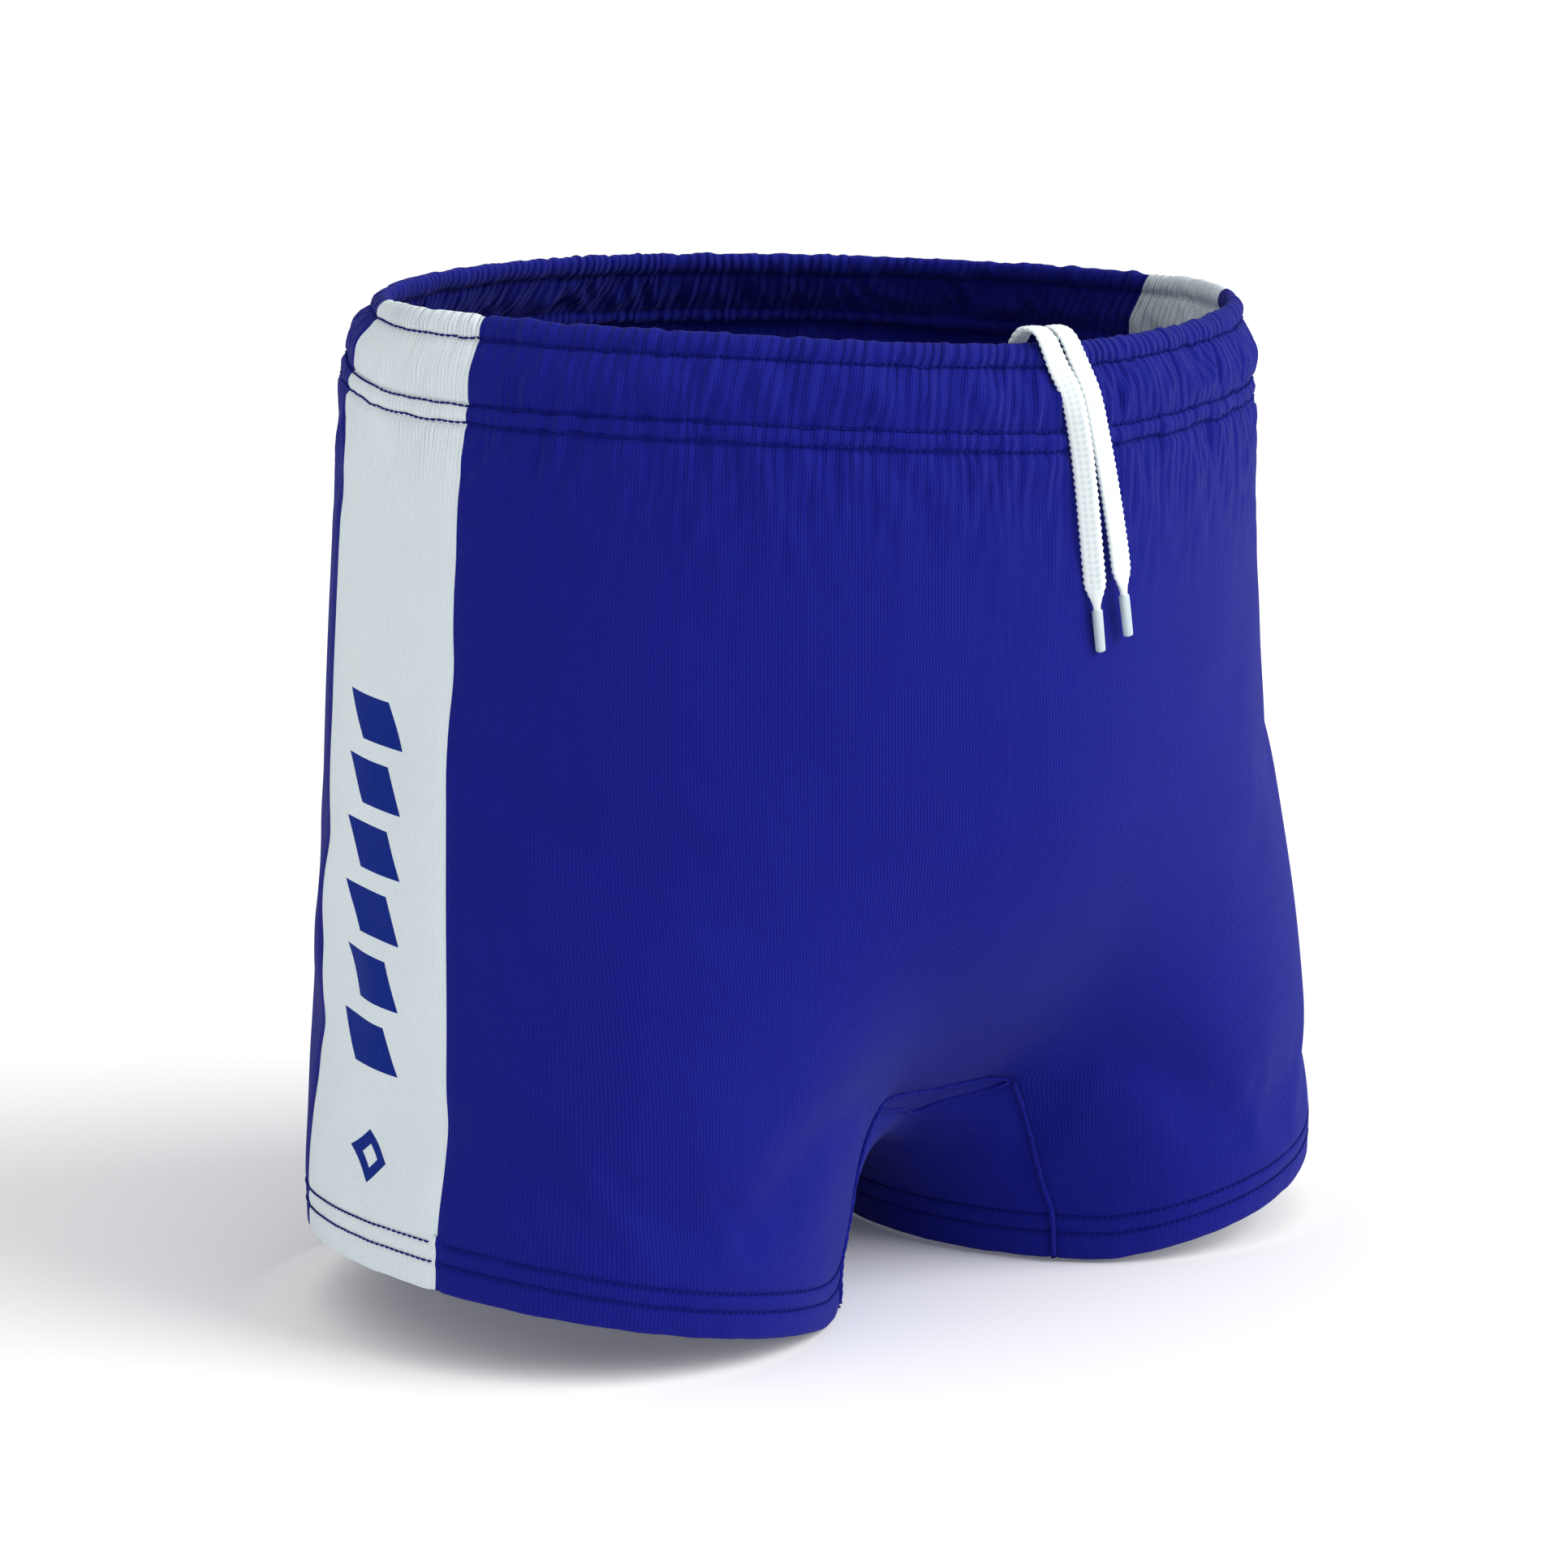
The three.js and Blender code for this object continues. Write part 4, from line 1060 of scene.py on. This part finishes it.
class SHORTS_OT_elastic(ShortsOperator):
    """Lay the elastic and the hidden part of the drawcord inside the casing"""
    bl_idname = "shorts.elastic"
    bl_label = "Elastic and Hidden Cord"

    def execute(self, context):
        c = self.colours
        WORK["braid"] = braid_material(c.cord, c.cord_gap_shade)
        elastic = elastic_material(c.elastic)
        belt = belt_object("elastic_band", ELASTIC_ROWS, *ELASTIC_OFFSETS, 0)
        finish_piece(belt, elastic, "elastic", "root", "waist_elastic")
        cord = belt_object("cord_in_tunnel", TUNNEL_ROWS, *TUNNEL_OFFSETS, TUNNEL_START)
        finish_piece(cord, WORK["braid"], "braid", "root", "drawcord_in_casing")
        return {"FINISHED"}


class SHORTS_OT_stitches(ShortsOperator):
    """Sew the three waist rows and the two rows round each hem"""
    bl_idname = "shorts.stitches"
    bl_label = "Stitch Rows"

    def execute(self, context):
        lattice = WORK["lattice"]
        WORK["sewing"] = sewing_nodes()
        WORK["thread"] = thread_material(self.colours.thread)
        length, width = self.sizes.stitch_length, self.sizes.thread_width
        stitch = capsule("one_stitch", length * 0.8, width, width * 0.6)
        WORK["stitch"] = stitch
        WORK["overlock"] = capsule("overlock_stitch", 0.0055, width, width * 0.5)
        round_waist = range(lattice.mark[4] + 1)
        for number, down in enumerate(ROWS_WAIST, 1):
            row = lattice.upper.index(down)
            places = row_places(((1, False), (-1, True)), row, round_waist)
            points, ups = lay_line(places, 0.12, True, 1.5)
            obj = sew(f"stitches_waist_{number}", points, ups, True, length, 0.0, stitch,
                      WORK["thread"], number)
            finish_piece(obj, WORK["thread"], "thread", "root", f"waist_stitch_row_{number}")
        round_leg = range(lattice.mark[1], len(lattice.at))
        for side, sign in (("right", -1), ("left", 1)):
            for level, row in (("upper", 5), ("lower", 3)):
                places = row_places(((sign, False),), lattice.bottom - row, round_leg)
                points, ups = lay_line(places, 0.12, True, 1.5)
                obj = sew(f"stitches_hem_{level}_{side}", points, ups, True, length, 0.0, stitch,
                          WORK["thread"],
                          10 + row + sign)
                finish_piece(obj, WORK["thread"], "thread", "root", f"hem_stitch_{level}_{side}")
        return {"FINISHED"}


class SHORTS_OT_seams(ShortsOperator):
    """Roll the inseams and gusset seams, and overlock the side seams inside"""
    bl_idname = "shorts.seams"
    bl_label = "Seams"

    def execute(self, context):
        lattice = WORK["lattice"]
        knee, bottom, last = lattice.knee, lattice.bottom, len(lattice.at) - 1
        rolled = knit_material("blue knit, rolled", self.colours.body, self.colours.body_shade_and_mottle, 0.22)
        for side, sign in (("right", -1), ("left", 1)):
            column = [lattice.points[lattice.grid[sign, lattice.mark[1], row]]
                      for row in range(knee, bottom + 1)]
            self.roll(f"inseam_roll_{side}", column, 1.1, 0.25, rolled, f"inseam_{side}")
        crotch = [i for i in range(lattice.mark[1] + 1)]
        front = [lattice.points[lattice.grid[-1, i, knee]] for i in crotch[::-1]]
        front += [lattice.points[lattice.grid[1, i, knee]] for i in crotch[1:]]
        self.roll("gusset_roll_front", front, 0.8, 0.1, rolled, "gusset_seam_front")
        behind = list(range(lattice.mark[5], last + 1))
        back = [lattice.points[lattice.grid[-1, i, knee]] for i in behind[::-1]]
        back += [lattice.points[lattice.grid[1, i, knee]] for i in behind[1:]]
        self.roll("gusset_roll_back", back, 0.8, 0.1, rolled, "gusset_seam_back")
        for side, sign in (("right", -1), ("left", 1)):
            for where, mark in (("front", lattice.mark[2]), ("back", lattice.mark[3])):
                rows = range(7, bottom - 6)
                column = [lattice.points[lattice.grid[sign, mark, row]] for row in rows]
                points, ups = lay_line(column, -2.2, False, 1.5)
                spacing = self.sizes.stitch_length * OVERLOCK_SHARE
                obj = sew(f"overlock_{where}_{side}", points, ups, False, spacing, OVERLOCK_ANGLE,
                          WORK["overlock"], WORK["thread"], 40 + mark + sign)
                finish_piece(obj, WORK["thread"], "thread", "root", f"side_seam_{where}_{side}")
        return {"FINISHED"}

    def roll(self, name, places, radius, lift, material, node):
        points, ups = lay_line(places, lift, False, 1.2)
        for _ in range(3):
            points[1:-1] = (points[:-2] + 2 * points[1:-1] + points[2:]) / 4
        along = np.arange(len(points)) * 1.2
        wave = 1 + 0.12 * np.sin(along * 2 * np.pi / 3.1) + 0.08 * np.sin(along * 2 * np.pi / 7.3)
        mesh_points, faces, _ = sweep_mesh(points, radius * 2.3 * wave, radius * 1.7 * wave, ups, 12)
        obj = new_object(name, mesh_points * MM, faces)
        layer = obj.data.uv_layers.new(name="cloth")
        co = coordinates(obj.data) / MM
        index = np.empty(len(obj.data.loops), np.int32)
        obj.data.loops.foreach_get("vertex_index", index)
        uv = np.stack([co[index, 0] + co[index, 1], 120 - co[index, 2]], -1).astype(np.float32)
        layer.data.foreach_set("uv", uv.ravel())
        return finish_piece(obj, material, "blue_knit", "root", node)


class SHORTS_OT_eyelets(ShortsOperator):
    """Embroider the two eyelets inside the waistband where the drawcord comes out"""
    bl_idname = "shorts.eyelets"
    bl_label = "Eyelets"

    def execute(self, context):
        for side, which in (("right", 1), ("left", 2)):
            box_low, box_high = (np.array(corner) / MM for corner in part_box(f"eyelet_{side}"))
            centre, half = (box_low + box_high) / 2, (box_high - box_low) / 2
            turn = np.linspace(0, 2 * np.pi, EYELET_STITCHES + 1)[:-1]
            across = centre[0] + half[0] * 0.72 * np.cos(turn)
            height = centre[2] + half[2] * 0.62 * np.sin(turn)
            points, ups = [], []
            for x, z in zip(across, height):
                place = WORK["all"].ray_cast(Vector((x, 0, z)), Vector((0, -1, 0)))[0]
                points.append(np.array(place) + np.array([0, 0.35, 0]))
                ups.append(np.array([0.0, 1.0, 0.0]))
            obj = sew(f"eyelet_stitches_{side}", np.array(points), np.array(ups), True, 0.00065, math.pi / 2,
                      WORK["stitch"], WORK["thread"], 60 + which)
            finish_piece(obj, WORK["thread"], "thread", "root", f"eyelet_{side}")
        return {"FINISHED"}


class SHORTS_OT_drawcord(ShortsOperator):
    """Braid the two free ends of the drawcord and tip them"""
    bl_idname = "shorts.drawcord"
    bl_label = "Drawcord"

    def execute(self, context):
        sizes = self.sizes
        plastic = aglet_material(self.colours.tip)
        for which, side in ((1, "right"), (2, "left")):
            obj, path, end, tip = braid(which, sizes)
            finish_piece(obj, WORK["braid"], "braid", None, f"drawcord_bend_{side}", f"drawcord_end_{side}")
            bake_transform(obj)
            sleeve = aglet(f"aglet_sleeve_{side}", end + tip * 0.6, tip, sizes)
            finish_piece(sleeve, plastic, "aglet_plastic", f"cord_{side}", f"aglet_{side}")
        return {"FINISHED"}


FLOOR_HALF_WIDTH = 6.0  # metres
LAMPS = [  # name, direction to the light, strength, degrees of softness
    ("key", (0.60, -0.66, 0.55), 2.8, 50),
    ("top", (-0.3, -0.1, 1), 0.7, 90),
]
CAMERA_TARGET = (-0.0185, -0.0068, 0.1617)
CAMERA_YAW, CAMERA_LIFT = -36.18, 10.28  # degrees
CAMERA_DISTANCE = 1.2456  # metres
CAMERA_LENS, CAMERA_SENSOR = 84.7, 36


class SHORTS_OT_studio(ShortsOperator):
    """Set the floor, the soft lights and the camera"""
    bl_idname = "shorts.studio"
    bl_label = "Studio"

    def execute(self, context):
        floor_material = new_material("studio floor", Base_Color=self.colours.floor, Roughness=0.9)[0]
        size = FLOOR_HALF_WIDTH
        floor = new_object("floor", [(-size, -size, -0.001), (size, -size, -0.001), (size, size, -0.001),
                                     (-size, size, -0.001)], [[0, 1, 2, 3]], smooth=False)
        floor.data.materials.append(floor_material)
        world = bpy.data.worlds.new("studio")
        world.use_nodes = True
        shade = world.node_tree.nodes["Background"]
        shade.inputs["Color"].default_value = (1, 1, 1, 1)
        seen = add_node(world.node_tree, "ShaderNodeLightPath").outputs["Is Camera Ray"]
        strength = maths(world.node_tree, "MULTIPLY_ADD", seen, 1 - AMBIENT, AMBIENT)
        world.node_tree.links.new(strength, shade.inputs["Strength"])
        scene = context.scene
        scene.world = world
        scene.view_settings.view_transform = "Standard"
        target = Vector(CAMERA_TARGET)
        for name, towards, strength, softness in LAMPS:
            data = bpy.data.lights.new(name, "SUN")
            data.energy, data.angle = strength, math.radians(softness)
            lamp = bpy.data.objects.new(name, data)
            lamp.rotation_euler = Vector(towards).to_track_quat("Z", "Y").to_euler()
            scene.collection.objects.link(lamp)
        yaw, lift = math.radians(CAMERA_YAW), math.radians(CAMERA_LIFT)
        data = bpy.data.cameras.new("camera")
        data.lens, data.sensor_width = CAMERA_LENS, CAMERA_SENSOR
        camera = bpy.data.objects.new("camera", data)
        back = Vector((math.sin(yaw) * math.cos(lift), -math.cos(yaw) * math.cos(lift), math.sin(lift)))
        camera.location = target + back * CAMERA_DISTANCE
        camera.rotation_euler = (-back).to_track_quat("-Z", "Y").to_euler()
        scene.collection.objects.link(camera)
        scene.camera = camera
        return {"FINISHED"}


STEPS = (SHORTS_OT_cloth, SHORTS_OT_elastic, SHORTS_OT_stitches, SHORTS_OT_seams, SHORTS_OT_eyelets,
         SHORTS_OT_drawcord, SHORTS_OT_studio)


class SHORTS_PT_panel(bpy.types.Panel):
    """The shorts' sizes, colours and build steps"""
    bl_idname = "SHORTS_PT_panel"
    bl_label = "Boxing Shorts"
    bl_space_type = "VIEW_3D"
    bl_region_type = "UI"
    bl_category = "Shorts"

    def draw(self, context):
        for step in STEPS:
            self.layout.operator(step.bl_idname)
        for group in (context.scene.shorts_sizes, context.scene.shorts_colours):
            box = self.layout.box()
            for name in group.__annotations__:
                box.prop(group, name)


CLASSES = (ShortsSizes, ShortsColours, *STEPS, SHORTS_PT_panel)


def register():
    for cls in CLASSES:
        bpy.utils.register_class(cls)
    bpy.types.Scene.shorts_sizes = bpy.props.PointerProperty(type=ShortsSizes)
    bpy.types.Scene.shorts_colours = bpy.props.PointerProperty(type=ShortsColours)


def unregister():
    del bpy.types.Scene.shorts_colours
    del bpy.types.Scene.shorts_sizes
    for cls in reversed(CLASSES):
        bpy.utils.unregister_class(cls)


def main():
    register()
    for step in STEPS:
        group, name = step.bl_idname.split(".")
        if getattr(getattr(bpy.ops, group), name)() != {"FINISHED"}:
            raise RuntimeError(step.bl_label + " did not finish")
    for name in ("one_stitch", "overlock_stitch"):
        bpy.data.objects.remove(bpy.data.objects[name])


if __name__ == "__main__":
    main()
